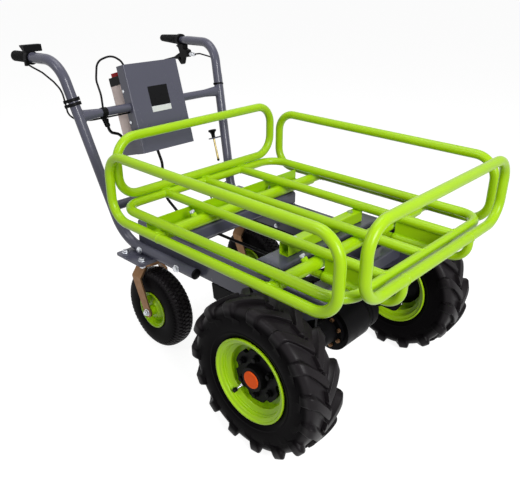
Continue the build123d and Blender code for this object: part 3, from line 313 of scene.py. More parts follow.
# Drawn aluminium: a soft pale grey with a slight grain.
aluminium = plated("extruded_aluminium", "#C4C6CA", "#AEB0B6", 0.3, 0.45, cloud_mm=10.0)
for metal in (zinc, yellow_zinc, brass_zinc, aluminium):
    print("made", metal.name)

# %% [markdown]
# Tyres are moulded black rubber, nearly black all over. Painted light makes the tread a
# very dark warm grey, and painted shade keeps the walls and the steep sides of the bars
# near black. The tyre's mesh says where the painted light lies, in an attribute of its own,
# and the mould leaves a fine skin texture on all of it.

# %% Tyre rubber
# Vulcanised rubber: near black, with painted shade on the walls and on the steep sides of a bar,
# and painted light on the tread.
tyre_rubber, tree, shader, place = new_finish("moulded_tyre_rubber")
painted_light_share = node(tree, "Attribute", attribute_name="painted_tread_light").outputs["Fac"]
clouds = noise(tree, place, grain_mm=55.0, detail=5.0, rough=0.6)
skin = noise(tree, place, grain_mm=2.4, detail=3.0)
# Near black where painted shade lies, and a lighter warm grey where painted light lies on the tread.
shaded_wall_hue = blend(tree, clouds, "#050405", "#0A080A")
lit_tread_hue = blend(tree, clouds, "#151315", "#221E21")
sheen = node(tree, "MapRange", {"Value": painted_light_share, "To Min": 0.02, "To Max": 0.12})
feed(tree, shader, {
    "Base Color": blend(tree, painted_light_share, shaded_wall_hue, lit_tread_hue),
    "Roughness": spread(tree, clouds, 0.34, 0.46),
    "Normal": bump(tree, skin, strength=0.25, depth_mm=0.1),
    "Specular IOR Level": sheen.outputs[0],
})
print("made", tyre_rubber.name)

# %% [markdown]
# The remaining parts are moulded plastics, soft grip rubber and cable jackets. They
# differ in colour and in how rough the mould or the die left them, so one function
# gives a moulded skin with a leathery grain of a stated size.

# %% Moulded plastics and rubber
def moulded(name, light, dark, rough_low, rough_high, grain_mm, depth_mm):
    finish, tree, shader, place = new_finish(name)
    flow = noise(tree, place, grain_mm=35.0, detail=4.0)
    leather = node(tree, "TexVoronoi", {"Vector": place, "Scale": per_metre(grain_mm)}, feature="SMOOTH_F1")
    feed(tree, shader, {
        "Base Color": blend(tree, flow, light, dark),
        "Roughness": spread(tree, flow, rough_low, rough_high),
        "Normal": bump(tree, leather.outputs["Distance"], strength=0.3, depth_mm=depth_mm),
        "Specular IOR Level": 0.08,
    })
    return finish


# Spark-eroded ABS mould: matt black with a faint leather grain.
black_plastic = moulded("grained_black_abs", "#080809", "#0D0D0F", 0.36, 0.48, grain_mm=1.4, depth_mm=0.06)
# Soft thermoplastic rubber: black, dull, slightly velvety.
grip_rubber = moulded("soft_black_grip_rubber", "#080808", "#0C0C0D", 0.5, 0.62, grain_mm=1.0, depth_mm=0.05)
# Extruded PVC jacket: black and smooth with a long thin highlight.
cable_jacket = moulded("extruded_black_pvc_jacket", "#080809", "#0C0C0D", 0.34, 0.46, grain_mm=2.0,
                       depth_mm=0.03)
# Moulded polycarbonate case: pale pinkish grey, satin.
battery_shell = moulded("pale_moulded_battery_case", "#F8E6E1", "#EEDAD4", 0.36, 0.48, grain_mm=1.6,
                        depth_mm=0.04)
# Polished acetal: clear strong red.
red_plastic = moulded("polished_red_acetal", "#B8141C", "#A01018", 0.22, 0.32, grain_mm=3.0, depth_mm=0.02)
# Injection-moulded polypropylene: flat, even orange.
orange_plastic = moulded("smooth_orange_polypropylene", "#FF6420", "#FA5C1A", 0.34, 0.46, grain_mm=2.4,
                         depth_mm=0.03)
# Plain foil with nothing printed on it: smooth, slightly glossy black.
black_foil = moulded("plain_black_foil", "#121214", "#18181A", 0.24, 0.34, grain_mm=3.0, depth_mm=0.01)
# The same foil in white.
white_foil = moulded("plain_white_foil", "#E4E6E6", "#D8DADA", 0.3, 0.4, grain_mm=3.0, depth_mm=0.01)
# Smoked acrylic lens over a display that is switched off.
smoked_lens = moulded("smoked_acrylic_lens", "#0B0D10", "#101318", 0.06, 0.12, grain_mm=5.0, depth_mm=0.005)
for skin in (black_plastic, grip_rubber, cable_jacket, battery_shell, red_plastic, orange_plastic, black_foil,
             white_foil, smoked_lens):
    print("made", skin.name)

# %% [markdown]
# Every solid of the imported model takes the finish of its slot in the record. The two
# lists have the same names, so a dictionary pairs them, and no piece can be missed.

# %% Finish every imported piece
finishes = {
    "lime_paint": lime_paint, "grey_paint": grey_paint, "black_metal": cast_metal, "zinc": zinc,
    "yellow_zinc": yellow_zinc, "aluminium": aluminium, "tyre": tyre_rubber, "grip_rubber": grip_rubber,
    "black_plastic": black_plastic, "cable_black": cable_jacket, "battery_shell": battery_shell,
    "red_plastic": red_plastic, "orange_plastic": orange_plastic,
}
slot_of = {part["node"]: part["material_slot"] for part in frame["record"]["subparts"]}
for name, piece in frame["nodes"].items():
    piece.data.materials.clear()
    piece.data.materials.append(finishes[slot_of[name]])
print(len(slot_of), "packed pieces have a finish")

# %% [markdown]
# The small things are meshes of their own. Each starts as an open bmesh, which the
# cells below fill with turned, extruded and bevelled shapes. One helper closes it:
# smooth shading with sharp creases, a finish, and the body that carries it.

# %% Helpers for new pieces
def add_piece(name, shape, finish, body, crease=40.0):
    data = bpy.data.meshes.new(name)
    shape.to_mesh(data)
    shape.free()
    data.shade_smooth()
    data.set_sharp_from_angle(angle=math.radians(crease))
    data.materials.append(finish)
    piece = bpy.data.objects.new(name, data)
    scene.collection.objects.link(piece)
    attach(piece, body)
    print(name, len(data.polygons), "faces on", body)
    return piece


def point(x, y, z):
    return Vector((x, y, z)) * mm


def tidy_faces(shape):
    bmesh.ops.remove_doubles(shape, verts=shape.verts, dist=0.005 * mm)
    bmesh.ops.recalc_face_normals(shape, faces=shape.faces)


def soften(shape, size_mm, segments=2):
    # Rounds every edge that turns by more than 35 degrees.
    sharp = [edge for edge in shape.edges if edge.calc_face_angle(0.0) > math.radians(35)]
    bmesh.ops.bevel(shape, geom=sharp, offset=size_mm * mm, offset_type="OFFSET", affect="EDGES",
                    segments=segments, profile=0.5, material=-1, clamp_overlap=True)


def turned(shape, profile, centre, axis, steps=48):
    # Spins (along, radius) points in millimetres round an axis through the centre.
    axis = Vector(axis).normalized()
    side = axis.orthogonal().normalized()
    corners = [shape.verts.new(centre + (axis * along + side * radius) * mm) for along, radius in profile]
    radii = [radius for along, radius in profile]
    edges = []
    for start in range(len(corners)):
        end = (start + 1) % len(corners)
        if radii[start] > 0.0 or radii[end] > 0.0:
            edges.append(shape.edges.new((corners[start], corners[end])))
    bmesh.ops.spin(shape, geom=corners + edges, cent=centre, axis=axis, dvec=(0.0, 0.0, 0.0), angle=math.tau,
                   steps=steps, use_merge=True)
    tidy_faces(shape)


def standing(centre, axis):
    # The matrix that stands a shape made along Z at this centre, along this axis.
    return Matrix.Translation(centre) @ Vector(axis).to_track_quat("Z", "Y").to_matrix().to_4x4()


def hex_head(shape, seat, axis, flats_mm, height_mm):
    corner = flats_mm / 2 / math.cos(math.pi / 6) * mm
    middle = seat + Vector(axis).normalized() * height_mm / 2 * mm
    bmesh.ops.create_cone(shape, cap_ends=True, segments=6, radius1=corner, radius2=corner,
                          depth=height_mm * mm, matrix=standing(middle, axis))


def bolt_head(shape, seat, axis, washer, head, steps=32):
    # A washer of (foot, top, radius) with a hexagon of (foot, flats, height) on it, in millimetres.
    foot, top, radius = washer
    turned(shape, [(foot, 0), (foot, radius), (top, radius), (top, 0)], seat, axis, steps)
    head_foot, flats, height = head
    hex_head(shape, seat + Vector(axis).normalized() * head_foot * mm, axis, flats, height)


def block(shape, centre, axes, sizes_mm):
    # A box with these three edge directions and lengths.
    columns = [Vector(axis).normalized() * size * mm for axis, size in zip(axes, sizes_mm)]
    frame_axes = Matrix(columns).transposed().to_4x4()
    bmesh.ops.create_cube(shape, size=1.0, matrix=Matrix.Translation(centre) @ frame_axes)


# %% [markdown]
# A drive tyre is a casing with fifteen slanting bars on each half, set half a pitch
# apart, so that one bar always grips. Its section is drawn as rows from one bead over
# the crown to the other, each row at the groove and at the top of a bar. The section
# is spun into columns, and then every point is lifted by how far into a bar it lies.

# %% Lugged drive tyres
def ramp(value, low, high):
    # 1 up to low, 0 from high on, with a soft step between.
    share = min(1.0, max(0.0, (high - value) / (high - low)))
    return share * share * (3.0 - 2.0 * share)


# How far the painted light on the tread fades in past the wall's end, and how deep the painted shade on a
# bar's steep sides goes.
painted_light_fade = 10.0
edge_painted_shade = 3.6


def moulded_tyre(centre, outward, rows, columns, wall_end, raised, swept):
    # A row is (out, radius) in the groove and (out, radius) on a bar, in millimetres. Rows past the
    # wall's end are tread, which carries painted light, and the steep edges of a bar carry painted shade.
    shape = bmesh.new()
    row_of = shape.verts.layers.int.new("row")
    painted_light_of = shape.verts.layers.float.new("painted_tread_light")
    ring = []
    for index, (out, radius, top_out, top_radius) in enumerate(rows):
        corner = shape.verts.new(centre + point(outward * out, 0.0, radius))
        corner[row_of] = index
        ring.append(corner)
    edges = [shape.edges.new(pair) for pair in zip(ring, ring[1:] + ring[:1])]
    bmesh.ops.spin(shape, geom=ring + edges, cent=centre, axis=(1.0, 0.0, 0.0), dvec=(0.0, 0.0, 0.0),
                   angle=math.tau, steps=columns, use_merge=True)
    for vertex in shape.verts:
        index = vertex[row_of]
        out, radius, top_out, top_radius = rows[index]
        offset = vertex.co - centre
        turn = math.atan2(offset.y, offset.z)
        share = raised(turn, index)
        # Painted shade on the steep sides of a bar, and painted light on the tread past the wall's end.
        edge_painted_light = 1.0 - edge_painted_shade * share * (1.0 - share)
        vertex[painted_light_of] = edge_painted_light * (1.0 - ramp(radius, wall_end, wall_end + painted_light_fade))
        out += (top_out - out) * share
        radius += (top_radius - radius) * share
        turn += swept(index)
        vertex.co = centre + point(outward * out, radius * math.sin(turn), radius * math.cos(turn))
    tidy_faces(shape)
    return shape


def both_halves(half):
    # The rows of one half, its middle row last, carried on over the other half.
    mirrored = [(-out, radius, -top_out, top_radius) for out, radius, top_out, top_radius in half[:-1]]
    return half + mirrored[::-1]


def plain_rows(section):
    return [(out, radius, out, radius) for out, radius in section]


bars = 15
columns_per_bar = 28
bar_crown = 4.6
bar_foot = 6.2
bar_past_middle = 4.0
bar_slack = 0.6
bar_lead = 36.0
bar_low_r = 158.0
shoulder_share = 0.8
shoulder_slope = 0.4
tread_width = 61.0
tyre_r = 200.0
drive_wall_end = 168.0
sidewall = plain_rows([(45.4, 101.3), (45.4, 110), (47.2, 114), (49.6, 118), (50.6, 120.8), (52.2, 122),
                       (52.4, 124.4), (51.8, 126), (52.4, 128), (53.6, 138), (54, 148)])
tread = [(53.6, 158, 54.6, 158), (52.9, 163, 56.2, 164), (52.2, 167, 56.9, 169), (51.2, 171, 57, 174),
         (50, 174, 57, 179), (48.7, 177, 56.9, 183), (47.2, 179.6, 56.6, 187), (45.2, 182, 55.4, 190.6),
         (43, 184, 53.5, 193.6), (39.5, 185.7, 50, 196.2), (36, 186.7, 46, 198), (32, 187.4, 41, 199),
         (28, 188, 36, 199.6), (23, 188.4, 30, 199.9), (18, 188.7, 24, 200), (13, 188.9, 17, 200),
         (8, 189, 10, 199.8), (6, 189, 6.5, 199.7), (4.5, 189, 4.5, 199.7), (3, 189, 3, 199.6),
         (0, 189, 0, 199.6)]
casing = plain_rows([(38, 101.3), (43, 120), (46.4, 140), (46, 160), (40, 175), (24, 180.5), (0, 181.5)])
drive_rows = both_halves(sidewall + tread) + list(reversed(both_halves(casing)))


def bar_share(turn, index):
    out = drive_rows[index][2]
    share = 0.0
    for half, start in ((1, 0.5), (-1, 0.0)):
        if half * out > -bar_past_middle - bar_slack:
            pitch_place = (turn * bars / math.tau - start + 0.5) % 1.0 - 0.5
            share = max(share, ramp(abs(pitch_place) * columns_per_bar, bar_crown, bar_foot))
    return share


def bar_sweep(index):
    # A bar runs slanting across the tread and turns square near the shoulder.
    out, radius, top_out, top_radius = drive_rows[index]
    if top_radius < bar_low_r or top_radius == radius:
        return 0.0
    across = (abs(top_out) + bar_past_middle) / tread_width
    across = min(across, shoulder_share) + max(0.0, across - shoulder_share) * shoulder_slope
    return bar_lead * (2.0 * across - 1.0) / tyre_r


def node_centre(name):
    low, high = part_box(name)
    return (low + high) / 2


sides = {"right": -1, "left": 1}
for side_name, side in sides.items():
    shape = moulded_tyre(node_centre(f"drive_rim_{side_name}"), side, drive_rows, bars * columns_per_bar,
                         drive_wall_end, bar_share, bar_sweep)
    tyre = add_piece(f"lugged_tyre_{side_name}", shape, tyre_rubber, f"drive_wheel_{side_name}",
                     crease=55.0)
    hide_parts(f"drive_tyre_{side_name}")

# %% [markdown]
# The caster tyres have a fine tread of small blocks in staggered bands. The same
# spun section serves: each band lifts its blocks half a pitch from its neighbours.

# %% Caster tyres with block tread
blocks_round = 58
columns_per_block = 8
block_crown = 2.2
block_foot = 3.2
block_height = 4.5
caster_wall_end = 104.0
caster_wall = plain_rows([(30.6, 53.3), (30.6, 58.5), (31.8, 61), (33, 66), (34.4, 74), (35, 84), (34.8, 92),
                          (34, 100), (33, 105)])
# Each tread row has its place across, its radius on a block and its band, or no band in a groove.
block_rows = [(31.8, 109.6, 3), (30, 113, 3), (27.6, 116.4, 3), (26.2, 118, 3), (25.5, 118.8, None),
              (24.6, 119.7, 2), (21, 121.7, 2), (17.6, 123, 2), (16.7, 123.3, None), (15.8, 123.6, 1),
              (12, 124.3, 1), (8.6, 124.7, 1), (7.7, 124.8, None), (6.8, 124.85, 0), (3.4, 125, 0),
              (0, 125, 0)]
caster_tread = [(out, radius - block_height, out, radius) for out, radius, band in block_rows]
caster_casing = plain_rows([(24, 53.3), (26.5, 66), (28, 84), (24, 106), (12, 115), (0, 116)])
caster_rows = both_halves(caster_wall + caster_tread) + list(reversed(both_halves(caster_casing)))
half_bands = [None] * len(caster_wall) + [band for out, radius, band in block_rows]
bands = half_bands + half_bands[-2::-1] + [None] * (2 * len(caster_casing) - 1)


def block_share(turn, index):
    if bands[index] is None:
        return 0.0
    start = 0.5 * (bands[index] % 2)
    pitch_place = (turn * blocks_round / math.tau - start + 0.5) % 1.0 - 0.5
    return ramp(abs(pitch_place) * columns_per_block, block_crown, block_foot)


for side_name, side in sides.items():
    shape = moulded_tyre(node_centre(f"caster_rim_{side_name}"), side, caster_rows,
                         blocks_round * columns_per_block, caster_wall_end, block_share, lambda index: 0.0)
    tyre = add_piece(f"block_tyre_{side_name}", shape, tyre_rubber, f"caster_wheel_{side_name}",
                     crease=55.0)
    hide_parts(f"caster_tyre_{side_name}")

# %% [markdown]
# A rim is rolled from sheet. Its edge is curled to a bead that won't cut the tyre, and
# two rounded ridges behind it stiffen the barrel. One turned skin lies on the plain
# barrel and gives those curves, once on each face of the wheel.

# %% Rolled rim lips and ridges
# Each point is (out from the wheel's middle, radius), along the skin and back inside the sheet.
rim_skin = [(48.4, 108.6), (50.4, 108.6), (51.8, 107.4), (52.2, 105.6), (51.6, 103.8), (50.2, 102.8),
            (48.4, 102.2), (47.2, 100.2), (46.6, 97.6), (45.8, 95.0), (44.4, 93.4), (42.8, 93.2),
            (41.6, 94.4), (41.0, 96.2), (40.2, 96.8), (39.2, 96.2), (38.4, 93.8), (37.0, 92.0),
            (35.2, 91.4), (33.6, 91.8), (32.4, 92.6), (31.2, 91.8), (29.8, 88.8), (28.2, 85.4),
            (26.8, 82.4), (25.2, 80.8), (23.2, 80.6), (21.6, 81.6), (20.6, 83.6)]
rim_back = [(20.6, 85.2), (26.0, 86.2), (31.4, 97.0), (44.6, 99.2), (47.6, 107.6)]
for side_name in sides:
    centre = node_centre(f"drive_rim_{side_name}")
    shape = bmesh.new()
    for face in (-1, 1):
        turned(shape, rim_skin + rim_back, centre, (face, 0, 0), steps=96)
    add_piece(f"rim_ridges_{side_name}", shape, lime_paint, f"drive_wheel_{side_name}",
              crease=50.0)

# %% [markdown]
# Six black bolts hold the hub of a drive wheel to the disc and to a dished black ring
# behind it. A loop sets the bolts round their circle, and the ring is turned.

# %% Hub bolts and clamp rings
hub_bolt_count = 6
hub_circle = 50.0
pad_face = 26.1
clamp_ring = [(7.2, 24.6), (7.2, 69), (6, 70), (3, 70), (1, 68), (-4, 58), (-9, 46), (-12, 38), (-15, 36),
              (-15, 24.6)]
for side_name, side in sides.items():
    centre = node_centre(f"drive_rim_{side_name}")
    axis = (side, 0, 0)
    wheel = f"drive_wheel_{side_name}"
    shape = bmesh.new()
    for count in range(hub_bolt_count):
        turn = math.tau * (count + 0.5) / hub_bolt_count
        seat = centre + point(side * pad_face, hub_circle * math.cos(turn), hub_circle * math.sin(turn))
        bolt_head(shape, seat, axis, washer=(-0.2, 1.4, 8), head=(1.4, 12, 6), steps=24)
    soften(shape, 0.5)
    add_piece(f"hub_bolts_{side_name}", shape, cast_metal, wheel, crease=30.0)
    shape = bmesh.new()
    turned(shape, clamp_ring, centre, axis, steps=64)
    add_piece(f"clamp_ring_{side_name}", shape, cast_metal, wheel, crease=35.0)

# %% [markdown]
# A valve stands in a hole of each disc: a plated stem with a black cap, both turned. The
# two wheels have stopped at different angles, so each valve's place is written down.

# %% Valves
# Each valve has its place on the circle, back and up, and how far out and which way it leaves the disc.
valve_circle = 78.0
valve_lean = (0.1, 0.25)
valves = {"right": (0.69, -0.72, 11.0, 1), "left": (-0.12, -0.99, 7.0, -1)}
valve_stem = [(-1, 0), (-1, 7), (1.5, 7), (3, 5.4), (9, 4.6), (10, 3.8), (24, 3.6), (24, 0)]
valve_cap = [(22, 0), (22, 5), (23, 5.4), (31, 5.2), (33, 4.2), (33.4, 0)]
for side_name, (back, high, disc_out, way) in valves.items():
    side = sides[side_name]
    wheel = f"drive_wheel_{side_name}"
    foot = node_centre(f"drive_rim_{side_name}")
    foot += point(side * disc_out, valve_circle * back, valve_circle * high)
    axis = Vector((side * way, valve_lean[0] * back, valve_lean[1] * high))
    shape = bmesh.new()
    turned(shape, valve_stem, foot, axis, steps=32)
    add_piece(f"valve_stem_{side_name}", shape, zinc, wheel)
    shape = bmesh.new()
    turned(shape, valve_cap, foot, axis, steps=32)
    add_piece(f"valve_cap_{side_name}", shape, black_plastic, wheel)

# %% [markdown]
# The casters turn on a bolt with bright nuts, which are a little larger than the plain
# ends they cover. The bolt's tail stands out of each nut.

# %% Caster nuts
leg_face = 51.0
nut_foot = 1.2
bolt_tail = [(-1, 0), (-1, 6.2), (3.4, 6.2), (4.2, 5.2), (4.2, 0)]
for side_name, side in sides.items():
    centre = node_centre(f"caster_rim_{side_name}")
    shape = bmesh.new()
    for way, height in ((side, 7.0), (-side, 9.0)):
        axis = (way, 0, 0)
        seat = centre + point(way * leg_face, 0, 0)
        nut = (nut_foot, 16.8, height - nut_foot)
        bolt_head(shape, seat, axis, washer=(0.1, 1.6, 11), head=nut, steps=36)
        turned(shape, bolt_tail, seat + point(way * height, 0, 0), axis, steps=32)
    soften(shape, 0.7)
    add_piece(f"caster_nuts_{side_name}", shape, zinc, f"caster_yoke_{side_name}", crease=30.0)

# %% [markdown]
# Two long bolts clamp each handle to its rail. A flat washer can't sit on a round tube,
# so a cast saddle fills the curve, with a broad bright washer and the head on top. The
# outer bolts of the casters stand in the open on their cross plate, with plain washers.

# %% Handle and caster bolt heads
handle_bolt_places = (133.05, -33.95)
handle_side = 243.2
handle_height = 313.2
saddle = [(-4.6, 0), (-4.6, 9.4), (0.4, 9.4), (0.4, 11.0), (2.2, 11.0), (2.2, 0)]
head_seat = 2.0
shape = bmesh.new()
for side in sides.values():
    for y in handle_bolt_places:
        seat = point(side * handle_side, y, handle_height)
        turned(shape, saddle, seat, (side, 0, 0), steps=32)
        hex_head(shape, seat + point(side * head_seat, 0, 0), (side, 0, 0), flats_mm=15, height_mm=6.0)
soften(shape, 0.6)
add_piece("handle_bolt_heads", shape, zinc, "chassis", crease=30.0)

caster_bolt_x = 262.5
caster_bolt_places = (98.05, 178.05)
cross_plate_top = 298.0
shape = bmesh.new()
for side in sides.values():
    for y in caster_bolt_places:
        seat = point(side * caster_bolt_x, y, cross_plate_top)
        bolt_head(shape, seat, (0, 0, 1), washer=(0, 1.8, 11.5), head=(1.6, 17.4, 6.4))
soften(shape, 0.9)
add_piece("caster_bolt_heads", shape, zinc, "chassis", crease=30.0)

# %% [markdown]
# The gear case is two castings held face to face by a ring of yellow plated bolts. Their
# circle lies round the axle, so a loop over the angle places them all.

# %% Gear case bolts
axle_centre = point(0.0, -417.95, 200.0)
case_face = -58.0
case_circle = 41.0
case_bolt_count = 8
shape = bmesh.new()
for count in range(case_bolt_count):
    turn = math.tau * (count + 0.5) / case_bolt_count
    seat = axle_centre + point(case_face, case_circle * math.cos(turn), case_circle * math.sin(turn))
    bolt_head(shape, seat, (-1, 0, 0), washer=(-0.2, 1.2, 6), head=(1.2, 9, 5), steps=20)
soften(shape, 0.4)
add_piece("gear_case_bolts", shape, yellow_zinc, "chassis", crease=30.0)

# %% [markdown]
# The tubes are welded where they meet. A bead of weld is a small rounded ridge with
# the ripples of the molten pool, and paint covers it with the tube. Its path is found
# by walking round the end of one tube and sliding each point along that tube until
# it touches the other.

# %% Helpers for weld beads
def weld_path(start, axis, high_way, half_high, half_wide, wall_point, wall_axis, wall_radius, steps=44):
    axis = Vector(axis).normalized()
    wall_axis = Vector(wall_axis).normalized()
    high_way = Vector(high_way).normalized()
    wide_way = axis.cross(high_way)
    run = axis - wall_axis * axis.dot(wall_axis)
    path = []
    for count in range(steps):
        turn = math.tau * count / steps
        rim = start + (high_way * half_high * math.cos(turn) + wide_way * half_wide * math.sin(turn)) * mm
        aside = rim - wall_point
        aside -= wall_axis * aside.dot(wall_axis)
        square = run.dot(run)
        lean_in = aside.dot(run)
        rest = aside.dot(aside) - (wall_radius * mm) ** 2
        inside = max(0.0, lean_in * lean_in - square * rest)
        path.append(rim + axis * ((-lean_in - math.sqrt(inside)) / square))
    return path


ripple_share = 0.16
ripple_points = 3.0
wander_share = 0.06
wander_turn = 0.9


def weld_beads(name, paths, width_mm, closed, finish, body):
    line = bpy.data.curves.new(name, "CURVE")
    line.dimensions = "3D"
    line.bevel_depth = width_mm / 2 * mm
    line.bevel_resolution = 1
    line.use_fill_caps = True
    for path in paths:
        spline = line.splines.new("POLY")
        spline.points.add(len(path) - 1)
        spline.use_cyclic_u = closed
        for count, place in enumerate(path):
            spline.points[count].co = (*place, 1.0)
            ripple = ripple_share * math.sin(count * math.tau / ripple_points)
            wander = wander_share * math.sin(count * wander_turn)
            spline.points[count].radius = 1.0 + ripple + wander
    drawn = bpy.data.objects.new(name + "_line", line)
    scene.collection.objects.link(drawn)
    shape = bmesh.new()
    shape.from_mesh(bpy.data.meshes.new_from_object(drawn))
    bpy.data.objects.remove(drawn)
    tidy_faces(shape)
    add_piece(name, shape, finish, body, crease=70.0)


# %% [markdown]
# The handles carry two welded crossbars. A handle leans back and outward, so its line is
# written once, as a foot and a head, and a place on it is found from its height.

# %% Crossbar welds
grey_bead = 4.4
# The handles and the box lean back: this is up along them, and out of the box's front.
lean = Vector((0.0, 0.275, 0.9614))
facing = Vector((0.0, -0.9614, 0.275))
handle_foot = (228.2, 227.05, handle_height)
handle_head = (291.5, 375.05, 829.7)


def handle_line(side):
    foot = point(side * handle_foot[0], *handle_foot[1:])
    head = point(side * handle_head[0], *handle_head[1:])
    return foot, head - foot


def on_handle(side, height_mm):
    foot, run = handle_line(side)
    return foot + run * (height_mm * mm - foot.z) / run.z


handle_r = 15.0
bar_start = 200.0
lower_bar_at = (256.35, 415.0)
lower_bar_r = 14.0
upper_bar_at = (331.55, 677.9)
upper_bar_half = (17.4, 9.2)
paths = []
for side in sides.values():
    foot, run = handle_line(side)
    paths.append(weld_path(point(side * bar_start, *lower_bar_at), (side, 0, 0), (0, 0, 1), lower_bar_r,
                           lower_bar_r, foot, run, handle_r))
    paths.append(weld_path(point(side * bar_start, *upper_bar_at), (side, 0, 0), lean, *upper_bar_half,
                           foot, run, handle_r))
weld_beads("crossbar_welds", paths, grey_bead, True, grey_paint, "chassis")

# %% [markdown]
# The deck's slats run into its loop, and the arms of the guard rails are welded to their
# loops. All of them are round tubes that meet squarely. A walk starts short of the wall.

# %% Deck and guard rail welds
lime_bead = 4.0
arm_bead = 3.8
tube_r = 12.5
short_of_wall = 60.0
deck_height = 474.0
deck_ends = (-630.95, 109.05)
slat_places = (-152.0, 0.0, 152.0)
paths = []
for slat in slat_places:
    for end, way in zip(deck_ends, (-1, 1)):
        start = point(slat, end - short_of_wall * way, deck_height)
        paths.append(weld_path(start, (0, way, 0), (0, 0, 1), tube_r, tube_r,
                               point(0, end, deck_height), (1, 0, 0), tube_r))
weld_beads("slat_welds", paths, lime_bead, True, lime_paint, "chassis")

arm_places = (-446.95, -62.95)
arm_height = 445.2
guard_places = {"right": -326.0, "left": 350.0}
for side_name, guard_x in guard_places.items():
    side = sides[side_name]
    wall = point(guard_x, 0, arm_height)
    paths = []
    for arm in arm_places:
        start = point(guard_x - short_of_wall * side, arm, arm_height)
        paths.append(weld_path(start, (side, 0, 0), (0, 0, 1), tube_r, tube_r, wall, (0, 1, 0), tube_r))
    weld_beads(f"guard_arm_welds_{side_name}", paths, lime_bead, True, lime_paint, f"side_guard_{side_name}")

front_y = -670.95
front_low = 482.0
front_arm_r = 10.0
front_arms = (-152.0, 152.0)
below_rail = 40.0
wall = point(0, front_y, front_low)
paths = []
for arm in front_arms:
    start = point(arm, front_y, front_low - below_rail)
    paths.append(weld_path(start, (0, 0, 1), (1, 0, 0), front_arm_r, front_arm_r, wall, (1, 0, 0), tube_r))
weld_beads("front_arm_welds", paths, arm_bead, True, lime_paint, "front_guard")

# %% [markdown]
# A guard rail is bent from lengths of tube, and a low ring is left where two ends were
# joined. The beams lie on the rails with a short straight bead along each edge, which
# has one point for each ripple.

# %% Tube seams and beam welds
seam = [(-3.6, 12.2), (-2.6, 13.2), (-1.0, 13.6), (1.0, 13.6), (2.6, 13.2), (3.6, 12.2)]
side_seam_y = arm_places[1] - 14.0
front_seams = (-146.0, 146.0)
for side_name, guard_x in guard_places.items():
    shape = bmesh.new()
    turned(shape, seam, point(guard_x, side_seam_y, arm_height), (0, 1, 0), steps=40)
    add_piece(f"guard_seams_{side_name}", shape, lime_paint, f"side_guard_{side_name}",
              crease=60.0)
shape = bmesh.new()
for x in front_seams:
    turned(shape, seam, point(x, front_y, front_low), (1, 0, 0), steps=40)
add_piece("front_guard_seams", shape, lime_paint, "front_guard", crease=60.0)

rail_edges = (175.0, 211.0)
rail_top = 388.3
beam_edges = (-384.95, -304.95, -74.95, 5.05)
ripple_mm = 1.6
ripple_count = int((rail_edges[1] - rail_edges[0]) / ripple_mm)
across_rail = [rail_edges[0] + ripple_mm * step for step in range(ripple_count)]
paths = []
for side in sides.values():
    for edge in beam_edges:
        paths.append([point(side * x, edge, rail_top) for x in across_rail])
weld_beads("beam_welds", paths, grey_bead, False, grey_paint, "chassis")

# %% [markdown]
# A cable tie or a turn of tape lies flat on what it holds. Its line is the outline of
# the round things inside it, as a rubber band would take it, and it is found by asking
# in each direction which of the circles reaches furthest.

# %% Helpers for ties and tape
def lead_centre(name, place, normal, reach_mm=70.0):
    # Where a packed lead crosses the plane through this place.
    normal = Vector(normal).normalized()
    data = frame["nodes"][name].data
    crossings = []
    for edge in data.edges:
        start, end = (data.vertices[index].co for index in edge.vertices)
        before = (start - place).dot(normal)
        after = (end - place).dot(normal)
        if before * after < 0.0:
            crossing = start.lerp(end, before / (before - after))
            if (crossing - place).length < reach_mm * mm:
                crossings.append(crossing)
    return sum(crossings, Vector()) / len(crossings)


def band(shape, circles, axis, width_mm, thick_mm, steps=56):
    axis = Vector(axis).normalized()
    first = axis.orthogonal().normalized()
    second = axis.cross(first)
    outline = []
    for count in range(steps):
        turn = math.tau * count / steps
        way = first * math.cos(turn) + second * math.sin(turn)
        centre, radius = max(circles, key=lambda circle: circle[0].dot(way) + circle[1] * mm)
        outline.append(shape.verts.new(centre + way * radius * mm - axis * width_mm / 2 * mm))
    edges = [shape.edges.new(pair) for pair in zip(outline, outline[1:] + outline[:1])]
    grown = bmesh.ops.extrude_edge_only(shape, edges=edges)["geom"]
    moved = [item for item in grown if isinstance(item, bmesh.types.BMVert)]
    bmesh.ops.translate(shape, verts=moved, vec=axis * width_mm * mm)
    faces = [item for item in grown if isinstance(item, bmesh.types.BMFace)]
    bmesh.ops.recalc_face_normals(shape, faces=faces)
    bmesh.ops.solidify(shape, geom=faces, thickness=-thick_mm * mm)
    tidy_faces(shape)


# %% [markdown]
# Black ties hold the two control leads to the handles, and a few turns of black tape
# gather three leads on the upper crossbar where they meet beside the box.

# %% Ties and tape
# Each tie has the lead it holds, its height, its width and its thickness.
ties = {"right": (("throttle_cable", 724.0, 9.0, 2.2), ("throttle_cable", 712.0, 9.0, 2.2)),
        "left": (("brake_cable", 700.0, 5.0, 1.2), ("brake_cable", 420.0, 5.0, 1.2))}
tied_lead_r = 2.7
slack = 0.2
knot_wider, knot_deep, knot_long, knot_sunk = 1.4, 5.4, 7.5, 0.1
for side_name, places in ties.items():
    side = sides[side_name]
    shape = bmesh.new()
    foot, run = handle_line(side)
    for lead_name, height, width, thick in places:
        middle = on_handle(side, height)
        lead = lead_centre(lead_name, middle, run)
        band(shape, [(middle, handle_r + slack), (lead, tied_lead_r)], run, width, thick)
        outward = (lead - middle).normalized()
        knot = middle - outward * (handle_r + knot_deep / 2 - knot_sunk) * mm
        knot_size = (width + knot_wider, knot_deep, knot_long)
        block(shape, knot, (run, outward, run.cross(outward)), knot_size)
    soften(shape, 0.4)
    add_piece(f"cable_ties_{side_name}", shape, black_plastic, "chassis", crease=45.0)

